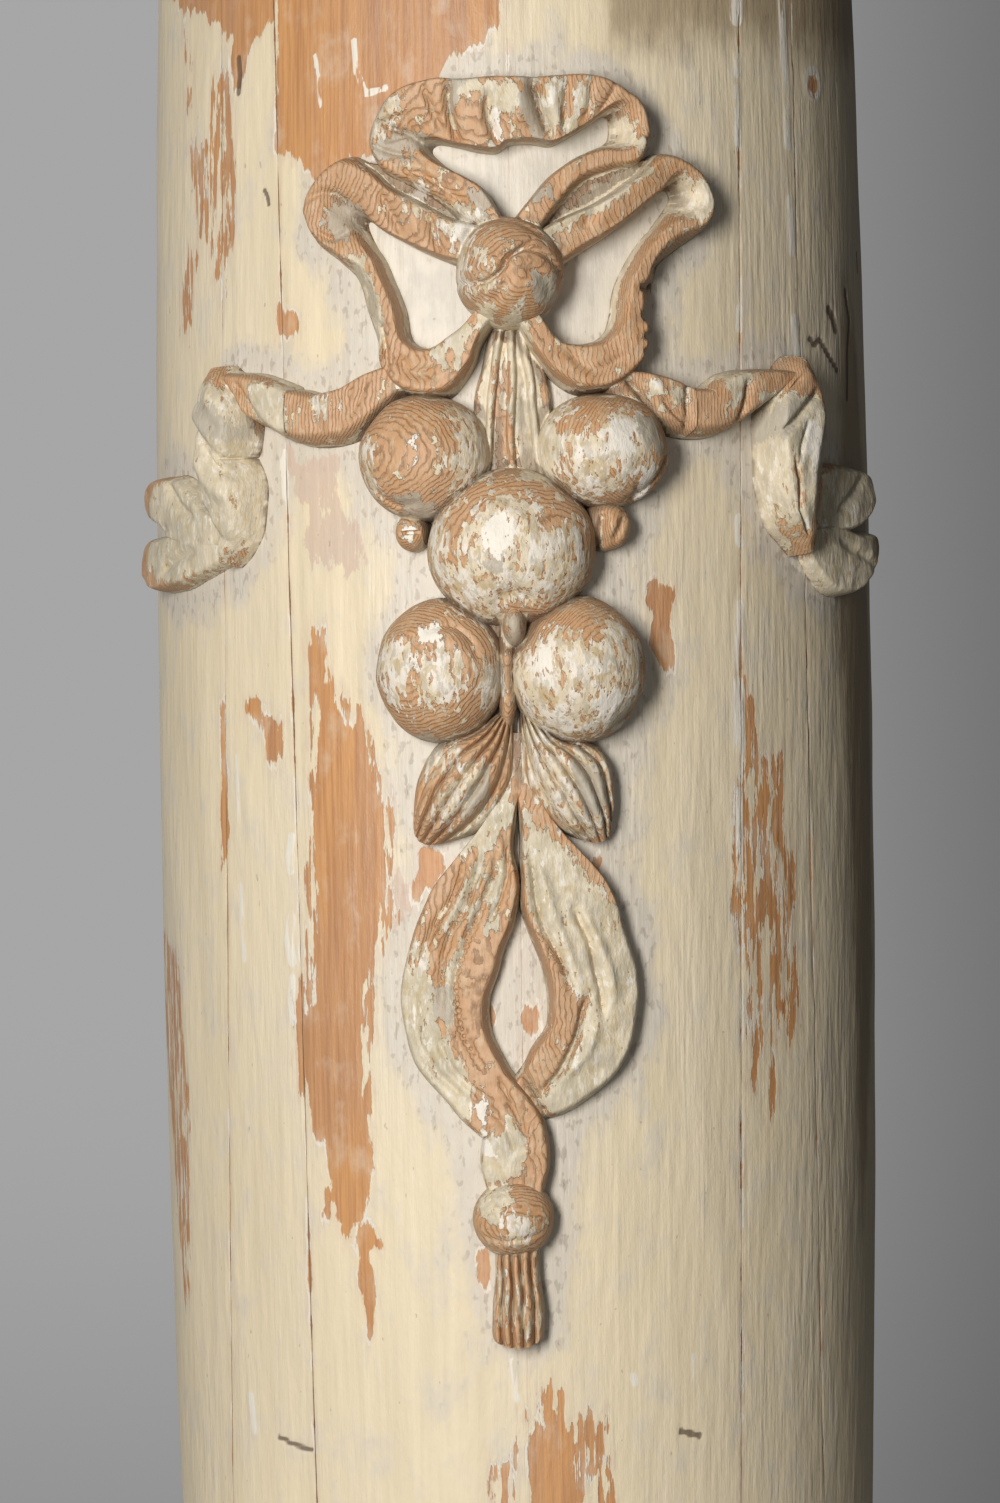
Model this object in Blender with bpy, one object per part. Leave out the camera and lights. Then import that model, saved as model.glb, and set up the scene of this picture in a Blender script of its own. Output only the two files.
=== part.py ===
"""A length of painted wooden column with an applied carving, in metres with +Z up.

The shaft is hollow and built of upright pine staves, planed to a gentle swelling outside and
left flat inside. A festoon is fixed to its front: a ribbon bow over five fruits, two leaves, a
hanging loop and a tassel. Each side ribbon runs on from the festoon in a carved block of its own.

The carving is drawn flat, in millimetres: across from the front joint, up from the shaft's foot
and out from the shaft's surface. wrapped() then lays the drawing round the shaft.
"""
import math
from collections import namedtuple

import bmesh
import bpy

# Sizes of the shaft
SHAFT_LENGTH = 1.0
BELLY_RADIUS = 0.178
BELLY_HEIGHT = 0.516
SWELLING_DROP = 0.0046
SWELLING_REACH = 0.355
BOARD_THICKNESS = 0.038
JOINT_GAP = 0.0003

# Places of the joints round the belly, in degrees from the front, and how far each one leans
# outwards in a metre of height
FRONT_JOINT_ANGLE = 35.7
FRONT_JOINT_LEAN = 0.0142
STRIP_JOINT_ANGLE = 50.6
STRIP_JOINT_LEAN = -0.008

# Sizes of the carving
CARVING_HEIGHT = 0.576
CARVING_FOOT = 0.231
GLUE_GAP = 0.0003
SUNK_DEPTH = 0.008

# How finely round shapes are cut into flats
ROWS = 8
FLATS_PER_STAVE = 5
FLATS_PER_STRIP = 2
STEPS_PER_SPAN = 2
BALL_SEGMENTS = 20
CREASE_ANGLE = 35.0

# The drawing of the carving, in millimetres
DRAWN_HEIGHT = 576.0
DRAWN_FOOT = 231.0
SMALL_BALL = 14.0
RIBBON_CROWN = 1.5

# A ribbon's inner edge stays within this share of its bend's radius, and a sloping side within
# this share of the half width
TIGHTEST_REACH = 0.85
WIDEST_RUN = 0.7
LEFT_BLOCK_JOINT = 102.0
RIGHT_BLOCK_JOINT = 80.0

CREAM_PAINT = (0.70, 0.61, 0.47)
GREY_PAINT = (0.60, 0.56, 0.48)
WORN_PAINT = (0.62, 0.46, 0.32)

Station = namedtuple("Station", "across up half left_height right_height left_run right_run")
Rung = namedtuple("Rung", "outer inner outer_height inner_height outer_run inner_run")
Ball = namedtuple("Ball", "across up half_width half_height out top")
Joint = namedtuple("Joint", "angle lean")


def blended(a, b, share):
    return a + (b - a) * share


def shaft_radius(height):
    """The radius falls away from the belly as a parabola."""
    return BELLY_RADIUS - SWELLING_DROP * ((height - BELLY_HEIGHT) / SWELLING_REACH) ** 2


def wrapped(across, up, out):
    """A point of the flat drawing, in millimetres, laid round the shaft, in metres."""
    scale = CARVING_HEIGHT / DRAWN_HEIGHT
    height = CARVING_FOOT + (up - DRAWN_FOOT) * scale
    angle = across * scale / BELLY_RADIUS
    radius = shaft_radius(height) + out * scale
    return (radius * math.sin(angle), -radius * math.cos(angle), height)


def smooth(rows, steps=STEPS_PER_SPAN):
    """Rows of numbers along a smooth curve through the given rows, a Catmull-Rom spline."""
    made = []
    last = len(rows) - 1
    for i in range(last):
        before = rows[max(i - 1, 0)]
        after = rows[min(i + 2, last)]
        for step in range(steps):
            t = step / steps
            made.append(tuple(
                0.5 * (2 * b + (c - a) * t + (2 * a - 5 * b + 4 * c - d) * t * t
                       + (3 * b - a - 3 * c + d) * t ** 3)
                for a, b, c, d in zip(before, rows[i], rows[i + 1], after)))
    made.append(tuple(rows[last]))
    return made


def headings(points):
    """The unit direction along a line of (across, up) points, at each of them."""
    made = []
    for i in range(len(points)):
        back = points[max(i - 1, 0)]
        ahead = points[min(i + 1, len(points) - 1)]
        run, rise = ahead[0] - back[0], ahead[1] - back[1]
        length = math.hypot(run, rise)
        made.append((run / length, rise / length))
    return made


def millimetres(length):
    return length * 1000


def turn(points, i):
    """How sharply the line bends at a point, one over the radius, positive to the left."""
    if i in (0, len(points) - 1):
        return 0.0
    (ax, ay), (bx, by), (cx, cy) = points[i - 1][:2], points[i][:2], points[i + 1][:2]
    sides = math.hypot(bx - ax, by - ay) * math.hypot(cx - bx, cy - by) * math.hypot(cx - ax, cy - ay)
    return 2 * ((bx - ax) * (cy - by) - (by - ay) * (cx - bx)) / sides


def new_mesh_object(name, bm, collection):
    bmesh.ops.triangulate(bm, faces=bm.faces, quad_method="SHORT_EDGE", ngon_method="EAR_CLIP")
    bmesh.ops.recalc_face_normals(bm, faces=bm.faces)
    mesh = bpy.data.meshes.new(name)
    bm.to_mesh(mesh)
    bm.free()
    mesh.shade_smooth()
    mesh.set_sharp_from_angle(angle=math.radians(CREASE_ANGLE))
    made = bpy.data.objects.new(name, mesh)
    collection.objects.link(made)
    return made


def loft(name, rings, collection):
    """A closed solid through rings of points, each ring with as many points as the next."""
    bm = bmesh.new()
    rows = [[bm.verts.new(point) for point in ring] for ring in rings]
    count = len(rows[0])
    for lower, upper in zip(rows, rows[1:]):
        for i in range(count):
            following = (i + 1) % count
            bm.faces.new((lower[i], lower[following], upper[following], upper[i]))
    bm.faces.new(reversed(rows[0]))
    bm.faces.new(rows[-1])
    return new_mesh_object(name, bm, collection)


def set_aside(made):
    """A shape that only cuts or joins is drawn as wire and isn't rendered."""
    made.hide_render = True
    made.display_type = "WIRE"


def painted(made, colour, roughness=0.55):
    material = bpy.data.materials.new(made.name + "_paint")
    material.use_nodes = True
    shader = material.node_tree.nodes["Principled BSDF"]
    shader.inputs["Base Color"].default_value = (*colour, 1.0)
    shader.inputs["Roughness"].default_value = roughness
    shader.inputs["Metallic"].default_value = 0.0
    made.data.materials.append(material)


def joint_angle(joint, height):
    """A leaning joint is a straight line seen from the front, so its angle follows the swelling."""
    offset = BELLY_RADIUS * math.sin(math.radians(joint.angle))
    offset += joint.lean * (height - BELLY_HEIGHT)
    return math.asin(offset / shaft_radius(height))


def joint_angles(height):
    """The angles of all the joints at one height, round from the front through the right side."""
    front = joint_angle(Joint(FRONT_JOINT_ANGLE, FRONT_JOINT_LEAN), height)
    strip = joint_angle(Joint(STRIP_JOINT_ANGLE, STRIP_JOINT_LEAN), height)
    quarter = [0.0, front, strip, math.pi / 2]
    half = quarter + [math.pi - angle for angle in reversed(quarter[:-1])]
    return half + [2 * math.pi - angle for angle in reversed(half[:-1])]


STAVES = (
    ("front_right_stave", FLATS_PER_STAVE),
    ("right_front_strip", FLATS_PER_STRIP),
    ("right_forward_stave", FLATS_PER_STAVE),
    ("right_rear_stave", FLATS_PER_STAVE),
    ("right_rear_strip", FLATS_PER_STRIP),
    ("rear_right_stave", FLATS_PER_STAVE),
    ("rear_left_stave", FLATS_PER_STAVE),
    ("left_rear_strip", FLATS_PER_STRIP),
    ("left_rear_stave", FLATS_PER_STAVE),
    ("left_forward_stave", FLATS_PER_STAVE),
    ("left_front_strip", FLATS_PER_STRIP),
    ("front_left_stave", FLATS_PER_STAVE),
)


def outer_arc(height, number, flats, proud):
    """Points along a stave's rounded face at one height, from one joint to the next."""
    radius = shaft_radius(height) + proud
    half_gap = JOINT_GAP / 2 / shaft_radius(height)
    first, last = joint_angles(height)[number:number + 2]
    start, end = first + half_gap, last - half_gap
    points = []
    for i in range(flats + 1):
        angle = blended(start, end, i / flats)
        points.append((radius * math.sin(angle), -radius * math.cos(angle), height))
    return points


def row_heights():
    return [SHAFT_LENGTH * i / ROWS for i in range(ROWS + 1)]


def stave(name, number, flats, collection):
    """One upright board: round outside, flat inside, with a joint face on each side."""
    inner_radius = BELLY_RADIUS - BOARD_THICKNESS
    half_gap = JOINT_GAP / 2 / inner_radius
    rings = []
    for height in row_heights():
        ring = outer_arc(height, number, flats, 0.0)
        first, last = joint_angles(height)[number:number + 2]
        for angle in (last - half_gap, first + half_gap):
            ring.append((inner_radius * math.sin(angle), -inner_radius * math.cos(angle), height))
        rings.append(ring)
    made = loft(name, rings, collection)
    painted(made, CREAM_PAINT)
    return made


def carving_seat(collection):
    """A cutter with the staves' own flats, proud of them by the glue gap."""
    rings = []
    for height in row_heights():
        ring = []
        for number, (_, flats) in enumerate(STAVES):
            ring += outer_arc(height, number, flats, GLUE_GAP)
        rings.append(ring)
    seat = loft("carving_seat", rings, collection)
    set_aside(seat)
    return seat


def ribbon_rings(stations, crown, steps=STEPS_PER_SPAN):
    """Cross-sections of a ribbon: two sloping sides and a top that is crowned in the middle."""
    rows = smooth(stations, steps)
    line = [row[:2] for row in rows]
    sunk = millimetres(SUNK_DEPTH)
    rings = []
    for i, (row, heading) in enumerate(zip(rows, headings(line))):
        station = Station(*row)
        bend = turn(line, i)
        left_reach = station.half if bend <= 0 else min(station.half, TIGHTEST_REACH / bend)
        right_reach = station.half if bend >= 0 else min(station.half, -TIGHTEST_REACH / bend)
        left_top = left_reach - min(station.left_run, WIDEST_RUN * left_reach)
        right_top = right_reach - min(station.right_run, WIDEST_RUN * right_reach)
        middle = (station.left_height + station.right_height) / 2 + crown
        section = (
            (left_reach, -sunk),
            (left_top, station.left_height),
            ((left_top - right_top) / 2, middle),
            (-right_top, station.right_height),
            (-right_reach, -sunk),
        )
        rings.append([
            (station.across - heading[1] * aside, station.up + heading[0] * aside, out)
            for aside, out in section])
    return rings


def loop_rings(rungs, crown, steps):
    """Cross-sections of a bow's loop, each from its outer edge to its inner edge."""
    flat = smooth([rung.outer + rung.inner + rung[2:] for rung in rungs], steps)
    sunk = millimetres(SUNK_DEPTH)
    rings = []
    for outer_x, outer_y, inner_x, inner_y, outer_height, inner_height, outer_run, inner_run in flat:
        width = math.hypot(inner_x - outer_x, inner_y - outer_y)
        outer_share, inner_share = outer_run / width, inner_run / width
        middle = (outer_height + inner_height) / 2 + crown
        section = ((-outer_share * sunk / outer_height, -sunk), (outer_share, outer_height),
                   (0.5, middle),
                   (1 - inner_share, inner_height), (1.0, -sunk))
        rings.append([(blended(outer_x, inner_x, share), blended(outer_y, inner_y, share), out)
                      for share, out in section])
    return rings


def wrap_rings(rings):
    return [[wrapped(*point) for point in ring] for ring in rings]


def ribbon(name, stations, crown, collection, steps=STEPS_PER_SPAN):
    return loft(name, wrap_rings(ribbon_rings(stations, crown, steps)), collection)


def bow_loop(name, rungs, crown, collection, steps=1):
    return loft(name, wrap_rings(loop_rings(rungs, crown, steps)), collection)


def ball(name, size, collection):
    """An ellipsoid centred `out` from the shaft, whose highest point is `top` from it."""
    bm = bmesh.new()
    segments = BALL_SEGMENTS if size.half_width > SMALL_BALL else BALL_SEGMENTS // 2
    bmesh.ops.create_uvsphere(bm, u_segments=segments, v_segments=segments // 2, radius=1.0)
    for vert in bm.verts:
        x, y, z = vert.co
        vert.co = wrapped(size.across + x * size.half_width, size.up + y * size.half_height,
                          size.out + z * (size.top - size.out))
    return new_mesh_object(name, bm, collection)


def ribbed(name, left_edge, right_edge, heights, ribs, rib_depth, collection, steps=STEPS_PER_SPAN):
    """A tapering form with ridges along it, between two edges and with a height at each station."""
    lefts, rights = smooth(left_edge, steps), smooth(right_edge, steps)
    tops = smooth([(height,) for height in heights], steps)
    sunk = millimetres(SUNK_DEPTH)
    rings = []
    for left, right, (top,) in zip(lefts, rights, tops):
        ring = [(left[0], left[1], -sunk)]
        for i in range(2 * ribs + 1):
            share = (i + 0.6) / (2 * ribs + 1.2)
            bulge = math.sin(math.pi * share) ** 0.4
            out = top * bulge - (0.0 if i % 2 else rib_depth * min(1.0, max(0.0, top / 8 - 0.75)))
            ring.append((blended(left[0], right[0], share), blended(left[1], right[1], share), out))
        ring.append((right[0], right[1], -sunk))
        rings.append(ring)
    return loft(name, wrap_rings(rings), collection)


TOP_LOOP = (
    Rung((-14, 730), (-3, 742), 18, 18, 6, 2), Rung((-29, 745), (-12, 756), 16, 17, 7, 2),
    Rung((-46, 757), (-27, 765.5), 15, 16, 6, 2), Rung((-58, 764.5), (-33.5, 771.5), 16, 14, 5, 3),
    Rung((-64, 776), (-35, 774), 18, 12, 5, 4), Rung((-61, 790), (-34, 776), 19, 12, 5, 4),
    Rung((-50, 802), (-31, 777), 20, 14, 4, 3), Rung((-33, 806.5), (-25, 776), 21, 16, 3, 2),
    Rung((-12, 807), (-10, 776), 21, 18, 3, 2), Rung((10, 807), (6, 777), 21, 18, 3, 2),
    Rung((30, 807.5), (22, 779), 21, 17, 3, 2), Rung((45, 806), (34, 783.5), 20, 16, 4, 3),
    Rung((56, 800), (43, 787), 19, 15, 5, 8), Rung((63, 790), (45.5, 785), 18, 14, 5, 10),
    Rung((64, 777), (46, 780), 18, 14, 5, 10), Rung((58, 766), (44, 776.5), 17, 14, 4, 7),
    Rung((46, 762.5), (38, 773.5), 16, 15, 4, 3), Rung((33, 757), (28, 768.5), 16, 16, 4, 2),
    Rung((22, 745), (14, 757.5), 17, 17, 4, 2), Rung((13, 731), (2.5, 743.5), 18, 18, 4, 2),
)
LEFT_LOOP = (
    Rung((-9, 738), (-12, 717), 20, 18, 3, 2), Rung((-24, 744), (-27, 722), 19, 17, 4, 2),
    Rung((-38, 751), (-40, 728), 18, 16, 4, 2), Rung((-51, 758.5), (-51, 734), 18, 15, 4, 2),
    Rung((-62, 768), (-59, 739), 18, 14, 4, 3), Rung((-74, 774), (-63.5, 742.5), 18, 12, 5, 5),
    Rung((-87, 769), (-65.5, 743.5), 17, 11, 6, 6), Rung((-95.5, 759), (-66.5, 743), 17, 11, 6, 6),
    Rung((-97, 748), (-66.5, 741), 17, 12, 6, 6), Rung((-92, 735), (-65, 737), 16, 14, 6, 4),
    Rung((-82, 726.5), (-62, 731), 16, 16, 7, 2), Rung((-72.5, 718), (-57.5, 724), 15, 17, 8, 2),
    Rung((-67.5, 704), (-52, 712), 15, 18, 9, 2), Rung((-63.5, 690), (-48, 700), 15, 18, 8, 2),
    Rung((-61, 677), (-46, 690), 16, 18, 6, 2), Rung((-55, 667.5), (-43, 686), 18, 17, 5, 2),
    Rung((-46, 661.5), (-39, 684.5), 19, 17, 4, 3), Rung((-35, 660), (-34, 685.5), 19, 17, 4, 3),
    Rung((-25, 663), (-28, 689), 19, 18, 4, 3), Rung((-18, 673), (-21, 694), 19, 19, 4, 3),
    Rung((-12.5, 686), (-14, 702), 20, 20, 4, 2), Rung((-3, 697), (-6, 711), 20, 20, 4, 2),
)
RIGHT_LOOP = (
    Rung((9, 735), (13, 714), 20, 18, 3, 2), Rung((24, 743), (28, 723.5), 20, 17, 3, 3),
    Rung((40, 752), (43, 733), 20, 17, 3, 3), Rung((55, 762), (58, 745), 20, 16, 4, 3),
    Rung((67, 772.5), (68, 753), 19, 15, 4, 4), Rung((80, 771.5), (72.5, 756), 18, 14, 5, 8),
    Rung((90, 763.5), (75, 755.5), 17, 13, 5, 10), Rung((95.5, 751), (75.5, 752), 17, 13, 5, 12),
    Rung((92, 739), (73, 747.5), 17, 14, 5, 8), Rung((80, 730), (68, 741), 16, 16, 7, 3),
    Rung((71, 722), (59, 731), 16, 17, 7, 3), Rung((66, 709), (50.5, 718), 15, 18, 8, 3),
    Rung((62, 699), (46.5, 706), 16, 18, 6, 4), Rung((62.5, 689), (44.5, 696), 17, 18, 5, 4),
    Rung((60, 678), (43, 690.5), 18, 18, 4, 3), Rung((52, 668.5), (39, 687), 18, 17, 4, 3),
    Rung((41, 662.5), (34, 685.5), 19, 17, 4, 3), Rung((28, 662), (28, 685), 19, 17, 4, 3),
    Rung((17, 668), (21, 687), 19, 18, 4, 3), Rung((9.5, 678), (15, 695), 20, 19, 4, 3),
    Rung((0, 694), (7, 708), 20, 20, 4, 2),
)
LEFT_SIDE_RIBBON = (
    Station(-46, 672, 9, 12, 12, 3, 3), Station(-60, 665, 12, 14, 14, 4, 3),
    Station(-74, 656, 14, 15, 15, 5, 3), Station(-91, 653.5, 14.5, 15, 15, 5, 3),
    Station(-LEFT_BLOCK_JOINT, 656, 14, 15, 15, 5, 3), Station(-113, 661, 13.5, 15, 15, 5, 3),
    Station(-128, 668, 11, 14, 16, 4, 3), Station(-142, 670, 9, 14, 15, 3, 3),
)
RIGHT_SIDE_RIBBON = (
    Station(44, 668, 9, 12, 12, 3, 3), Station(55, 662, 13, 14, 14, 3, 4),
    Station(67, 658, 14.5, 15, 15, 3, 5), Station(RIGHT_BLOCK_JOINT, 654, 13.5, 15, 15, 3, 5),
    Station(92, 654.5, 13.5, 15, 15, 3, 5), Station(106, 662, 13.5, 15, 15, 3, 5),
    Station(122, 668, 10, 16, 14, 3, 4), Station(136, 670, 8, 15, 14, 3, 3),
)
BELLY = (
    Station(-150, 681, 8, 9, 9, 5, 5), Station(-150, 672, 18, 15, 16, 6, 6),
    Station(-148, 656, 23.5, 18, 17, 6, 7), Station(-145, 634, 22, 20, 17, 6, 7),
    Station(-141, 613, 22, 20, 16, 8, 7), Station(-146, 599, 14, 15, 13, 7, 7),
    Station(-151, 592, 7, 9, 9, 5, 5),
)
UPPER_FLARE = (
    Station(-150, 601, 8, 8, 8, 3, 3), Station(-172, 607, 11, 9, 9, 3, 3),
    Station(-192, 617, 18, 10, 9, 4, 4), Station(-214, 622.5, 14.5, 9, 10, 4, 3),
    Station(-229, 623, 12, 8, 10, 3, 3), Station(-238, 622, 6, 7, 9, 3, 3),
)
LOWER_FLARE = (
    Station(-148, 599, 7, 7, 7, 3, 3), Station(-172, 598, 10, 9, 9, 3, 3),
    Station(-192, 595, 16, 10, 9, 4, 4), Station(-214, 594.5, 15.5, 11, 9, 3, 4),
    Station(-233, 596, 13.5, 11, 8, 3, 3), Station(-244, 598, 7, 10, 7, 3, 3),
)
HANGING_LEFT = (
    Station(-10, 480, 8, 11, 11, 3, 3), Station(-11, 458, 10, 12, 12, 2, 4),
    Station(-20, 434, 18, 14, 12, 3, 6), Station(-32, 411, 19, 14, 11, 3, 7),
    Station(-38, 388, 18, 14, 10, 3, 7), Station(-34, 366, 18, 14, 10, 3, 7),
    Station(-21, 348, 17, 14, 12, 3, 5), Station(-6, 331, 16, 14, 13, 3, 3),
    Station(-4, 314, 16, 13, 12, 3, 3), Station(-4.5, 295, 12, 12, 12, 3, 3),
)
HANGING_RIGHT = (
    Station(8, 480, 8, 11, 11, 3, 3), Station(9.5, 458, 10, 12, 12, 4, 2),
    Station(19, 434, 18.5, 12, 14, 6, 3), Station(28, 411, 20, 11, 14, 7, 3),
    Station(32, 388, 20, 10, 14, 7, 3), Station(29, 368, 19.5, 10, 13, 7, 3),
    Station(16, 352, 17, 10, 11, 5, 3), Station(2, 344, 12, 9, 9, 4, 3),
)
FRUITS = (
    ("upper_left_fruit", Ball(-39, 634, 29, 29, 6, 34)),
    ("upper_right_fruit", Ball(39, 636, 29.5, 26.5, 6, 33)),
    ("middle_fruit", Ball(-1.5, 592, 37, 36.5, 5, 38)),
    ("lower_left_fruit", Ball(-33, 537, 28.5, 33, 6, 34)),
    ("lower_right_fruit", Ball(26.5, 536.5, 30, 33.5, 6, 35)),
)
KNOT_LOBES = (
    ("knot_upper_lobe", Ball(-4, 719, 20, 23, 8, 39)),
    ("knot_lower_lobe", Ball(5, 708, 17.5, 17.5, 8, 35)),
)
CALYXES = (
    ("left_calyx", Ball(-45.5, 600, 7.5, 9, 4, 17)),
    ("right_calyx", Ball(41, 602, 11.5, 11.5, 4, 19)),
    ("middle_stem", Ball(-1, 557, 5, 10, 14, 30)),
)
TASSEL_HEAD = Ball(-5, 288, 18, 18, 5, 24)
STALKS = (((-4.5, 694), (-8, 672), (-10.5, 645), (-12, 625)),
          ((-0.5, 694), (0, 672), (-1, 645), (-1, 620)),
          ((3.5, 694), (7, 672), (9.5, 645), (11.5, 625)))


def mirrored(stations):
    """The same ribbon on the other side of the front joint."""
    return [station._replace(across=-station.across, left_height=station.right_height,
                             right_height=station.left_height, left_run=station.right_run,
                             right_run=station.left_run) for station in stations]


def split_at_joint(stations, joint, collection, names):
    """One ribbon as two solids that meet at a carved block's upright edge, a glue gap apart."""
    rows = ribbon_rings(stations, RIBBON_CROWN)
    position = [abs(station.across) for station in stations].index(joint) * STEPS_PER_SPAN
    half_gap = millimetres(GLUE_GAP) / 2
    side = math.copysign(1.0, stations[-1].across)
    near, far = rows[:position + 1], rows[position:]
    near[-1] = [(side * (joint - half_gap), up, out) for _, up, out in near[-1]]
    far[0] = [(side * (joint + half_gap), up, out) for _, up, out in far[0]]
    return [loft(name, wrap_rings(rings), collection) for name, rings in zip(names, (near, far))]


def leaves(collection):
    """Two ribbed leaves that spread from one point below the fruit."""
    ribs, depth = 4, 3.0
    left = ribbed("left_leaf",
                  ((-6, 524), (-24, 516), (-40, 503), (-47.5, 488), (-48, 470)),
                  ((-1, 520), (-1.5, 500), (-3, 484), (-13, 470), (-33, 458)),
                  (8, 17, 21, 19, 6), ribs, depth, collection)
    right = ribbed("right_leaf",
                   ((1, 520), (-0.5, 500), (1, 484), (9, 470), (29, 459)),
                   ((2, 524), (19, 516), (34, 504), (43, 488), (44, 468)),
                   (8, 17, 21, 19, 6), ribs, depth, collection)
    return [left, right]


def tassel(collection):
    """A round head over a skirt of upright strands."""
    skirt = ribbed("tassel_skirt",
                   ((-15.5, 280), (-16.5, 262), (-17, 246), (-16.5, 236), (-13, 231)),
                   ((7, 280), (8, 262), (8, 246), (7.5, 236), (4, 231)),
                   (15, 16, 17, 15, 6), 4, 3.5, collection)
    return [ball("tassel_head", TASSEL_HEAD, collection), skirt]


def stalk_bundle(collection):
    """Three stalks that spread from the knot down to the middle fruit."""
    made = []
    for number, line in enumerate(STALKS, 1):
        stations = [Station(across, up, 5.5, 10, 10, 2.5, 2.5) for across, up in line]
        made.append(ribbon("stalk_%d" % number, stations, 2.0, collection, 2))
    return made


def carved(name, shapes, seat, parts):
    """The shapes as one piece of wood, fitted to the shaft behind."""
    pieces = bpy.data.collections.new(name + "_shapes")
    bpy.context.scene.collection.children.link(pieces)
    body = shapes[0]
    for other in shapes[1:]:
        for home in other.users_collection:
            home.objects.unlink(other)
        pieces.objects.link(other)
        set_aside(other)
    for home in body.users_collection:
        home.objects.unlink(body)
    parts.objects.link(body)
    body.name = name
    joined = body.modifiers.new("Joined shapes", "BOOLEAN")
    joined.operation = "UNION"
    joined.operand_type = "COLLECTION"
    joined.collection = pieces
    joined.solver = "EXACT"
    fitted = body.modifiers.new("Fitted to the shaft", "BOOLEAN")
    fitted.operation = "DIFFERENCE"
    fitted.object = seat
    fitted.solver = "EXACT"
    return body


def ribbon_end(side, first_shape, collection):
    """A ribbon's hanging fold and its forked end, beside the festoon."""
    def on_side(stations):
        return stations if side == "left" else mirrored(stations)
    return [
        ribbon(side + "_belly", on_side(BELLY), 3.0, collection),
        first_shape,
        ribbon(side + "_upper_flare", on_side(UPPER_FLARE), 0.5, collection),
        ribbon(side + "_lower_flare", on_side(LOWER_FLARE), 0.5, collection),
    ]


def build():
    for old in list(bpy.data.objects):
        bpy.data.objects.remove(old, do_unlink=True)
    parts = bpy.data.collections.new("painted_wooden_column")
    cutters = bpy.data.collections.new("cutters")
    for collection in (parts, cutters):
        bpy.context.scene.collection.children.link(collection)

    for number, (name, flats) in enumerate(STAVES):
        stave(name, number, flats, parts)
    seat = carving_seat(cutters)

    left_near, left_far = split_at_joint(
        LEFT_SIDE_RIBBON, LEFT_BLOCK_JOINT, cutters, ("left_ribbon_near", "left_ribbon_far"))
    right_near, right_far = split_at_joint(
        RIGHT_SIDE_RIBBON, RIGHT_BLOCK_JOINT, cutters, ("right_ribbon_near", "right_ribbon_far"))

    shapes = [ball(name, size, cutters) for name, size in FRUITS + KNOT_LOBES + CALYXES]
    shapes.append(bow_loop("top_loop", TOP_LOOP, 1.0, cutters))
    shapes.append(bow_loop("left_loop", LEFT_LOOP, 1.0, cutters))
    shapes.append(bow_loop("right_loop", RIGHT_LOOP, 1.0, cutters))
    shapes.append(ribbon("hanging_left", HANGING_LEFT, 0.5, cutters))
    shapes.append(ribbon("hanging_right", HANGING_RIGHT, 0.5, cutters))
    shapes += [left_near, right_near]
    shapes += stalk_bundle(cutters) + leaves(cutters) + tassel(cutters)
    festoon = carved("festoon_carving", shapes, seat, parts)
    painted(festoon, WORN_PAINT)

    for side, far in (("left", left_far), ("right", right_far)):
        end = carved(side + "_ribbon_end", ribbon_end(side, far, cutters), seat, parts)
        painted(end, GREY_PAINT)

    axis = bpy.data.objects.new("shaft_axis", None)
    parts.objects.link(axis)
    proudest = KNOT_LOBES[0][1].top / DRAWN_HEIGHT * CARVING_HEIGHT
    axis.location.y = proudest / 2
    for made in bpy.data.objects:
        if made.type == "MESH":
            made.parent = axis


build()
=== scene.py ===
import math

import bmesh
import bpy
import numpy as np
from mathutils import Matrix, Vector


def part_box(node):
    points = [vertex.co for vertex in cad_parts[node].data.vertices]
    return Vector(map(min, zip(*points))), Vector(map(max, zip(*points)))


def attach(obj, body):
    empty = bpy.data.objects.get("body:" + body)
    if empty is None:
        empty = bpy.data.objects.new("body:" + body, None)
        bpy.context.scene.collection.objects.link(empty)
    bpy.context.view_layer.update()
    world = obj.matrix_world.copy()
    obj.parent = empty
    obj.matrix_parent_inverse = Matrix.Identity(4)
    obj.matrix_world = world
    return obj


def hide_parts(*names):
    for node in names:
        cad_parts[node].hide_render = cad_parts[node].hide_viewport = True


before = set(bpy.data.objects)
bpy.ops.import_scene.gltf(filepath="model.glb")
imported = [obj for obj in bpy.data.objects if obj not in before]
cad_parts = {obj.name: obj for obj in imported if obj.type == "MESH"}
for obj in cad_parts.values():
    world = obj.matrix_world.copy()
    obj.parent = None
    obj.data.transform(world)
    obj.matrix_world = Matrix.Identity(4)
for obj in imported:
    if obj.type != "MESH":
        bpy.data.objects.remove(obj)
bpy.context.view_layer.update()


# The staves of the shaft
# Twelve upright pine boards stand edge to edge in a hollow drum. They were glued up, planed round
# outside to a slight belly, left flat inside, and brush-painted in coats of white, grey and cream.
SHAFT_LENGTH = 1000.0
BELLY_RADIUS = 178.0
BELLY_HEIGHT = 516.0
SWELLING_DROP = 4.6
SWELLING_REACH = 355.0
BOARD_THICKNESS = 38.0
JOINT_GAP = 0.3
# How far each joint has opened, from the front one round through the right side
JOINT_OPENNESS = (0.1, 0.4, 0.4, 0.6, 0.6, 0.6, 0.5, 0.6, 0.6, 0.6, 0.3, 0.45)
FRONT_JOINT_ANGLE = 35.7
FRONT_JOINT_LEAN = 0.0142
STRIP_JOINT_ANGLE = 50.6
STRIP_JOINT_LEAN = -0.008
AXIS_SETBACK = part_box("rear_left_stave")[1].y * 1000 - BELLY_RADIUS
ARRIS_DEPTH = 0.45
ARRIS_WIDTH = 0.7
BOARD_STEP = 0.12
PLANING_WAVE = 0.22
BRUSH_RIDGE = 0.09
EDGE_STEPS = (0.0, 0.25, 0.6, 1.1, 1.9, 3.0)
CRACK_DEPTH = 0.8
DAB_HEIGHT = 0.6
CHIPPING = 0.8
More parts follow.
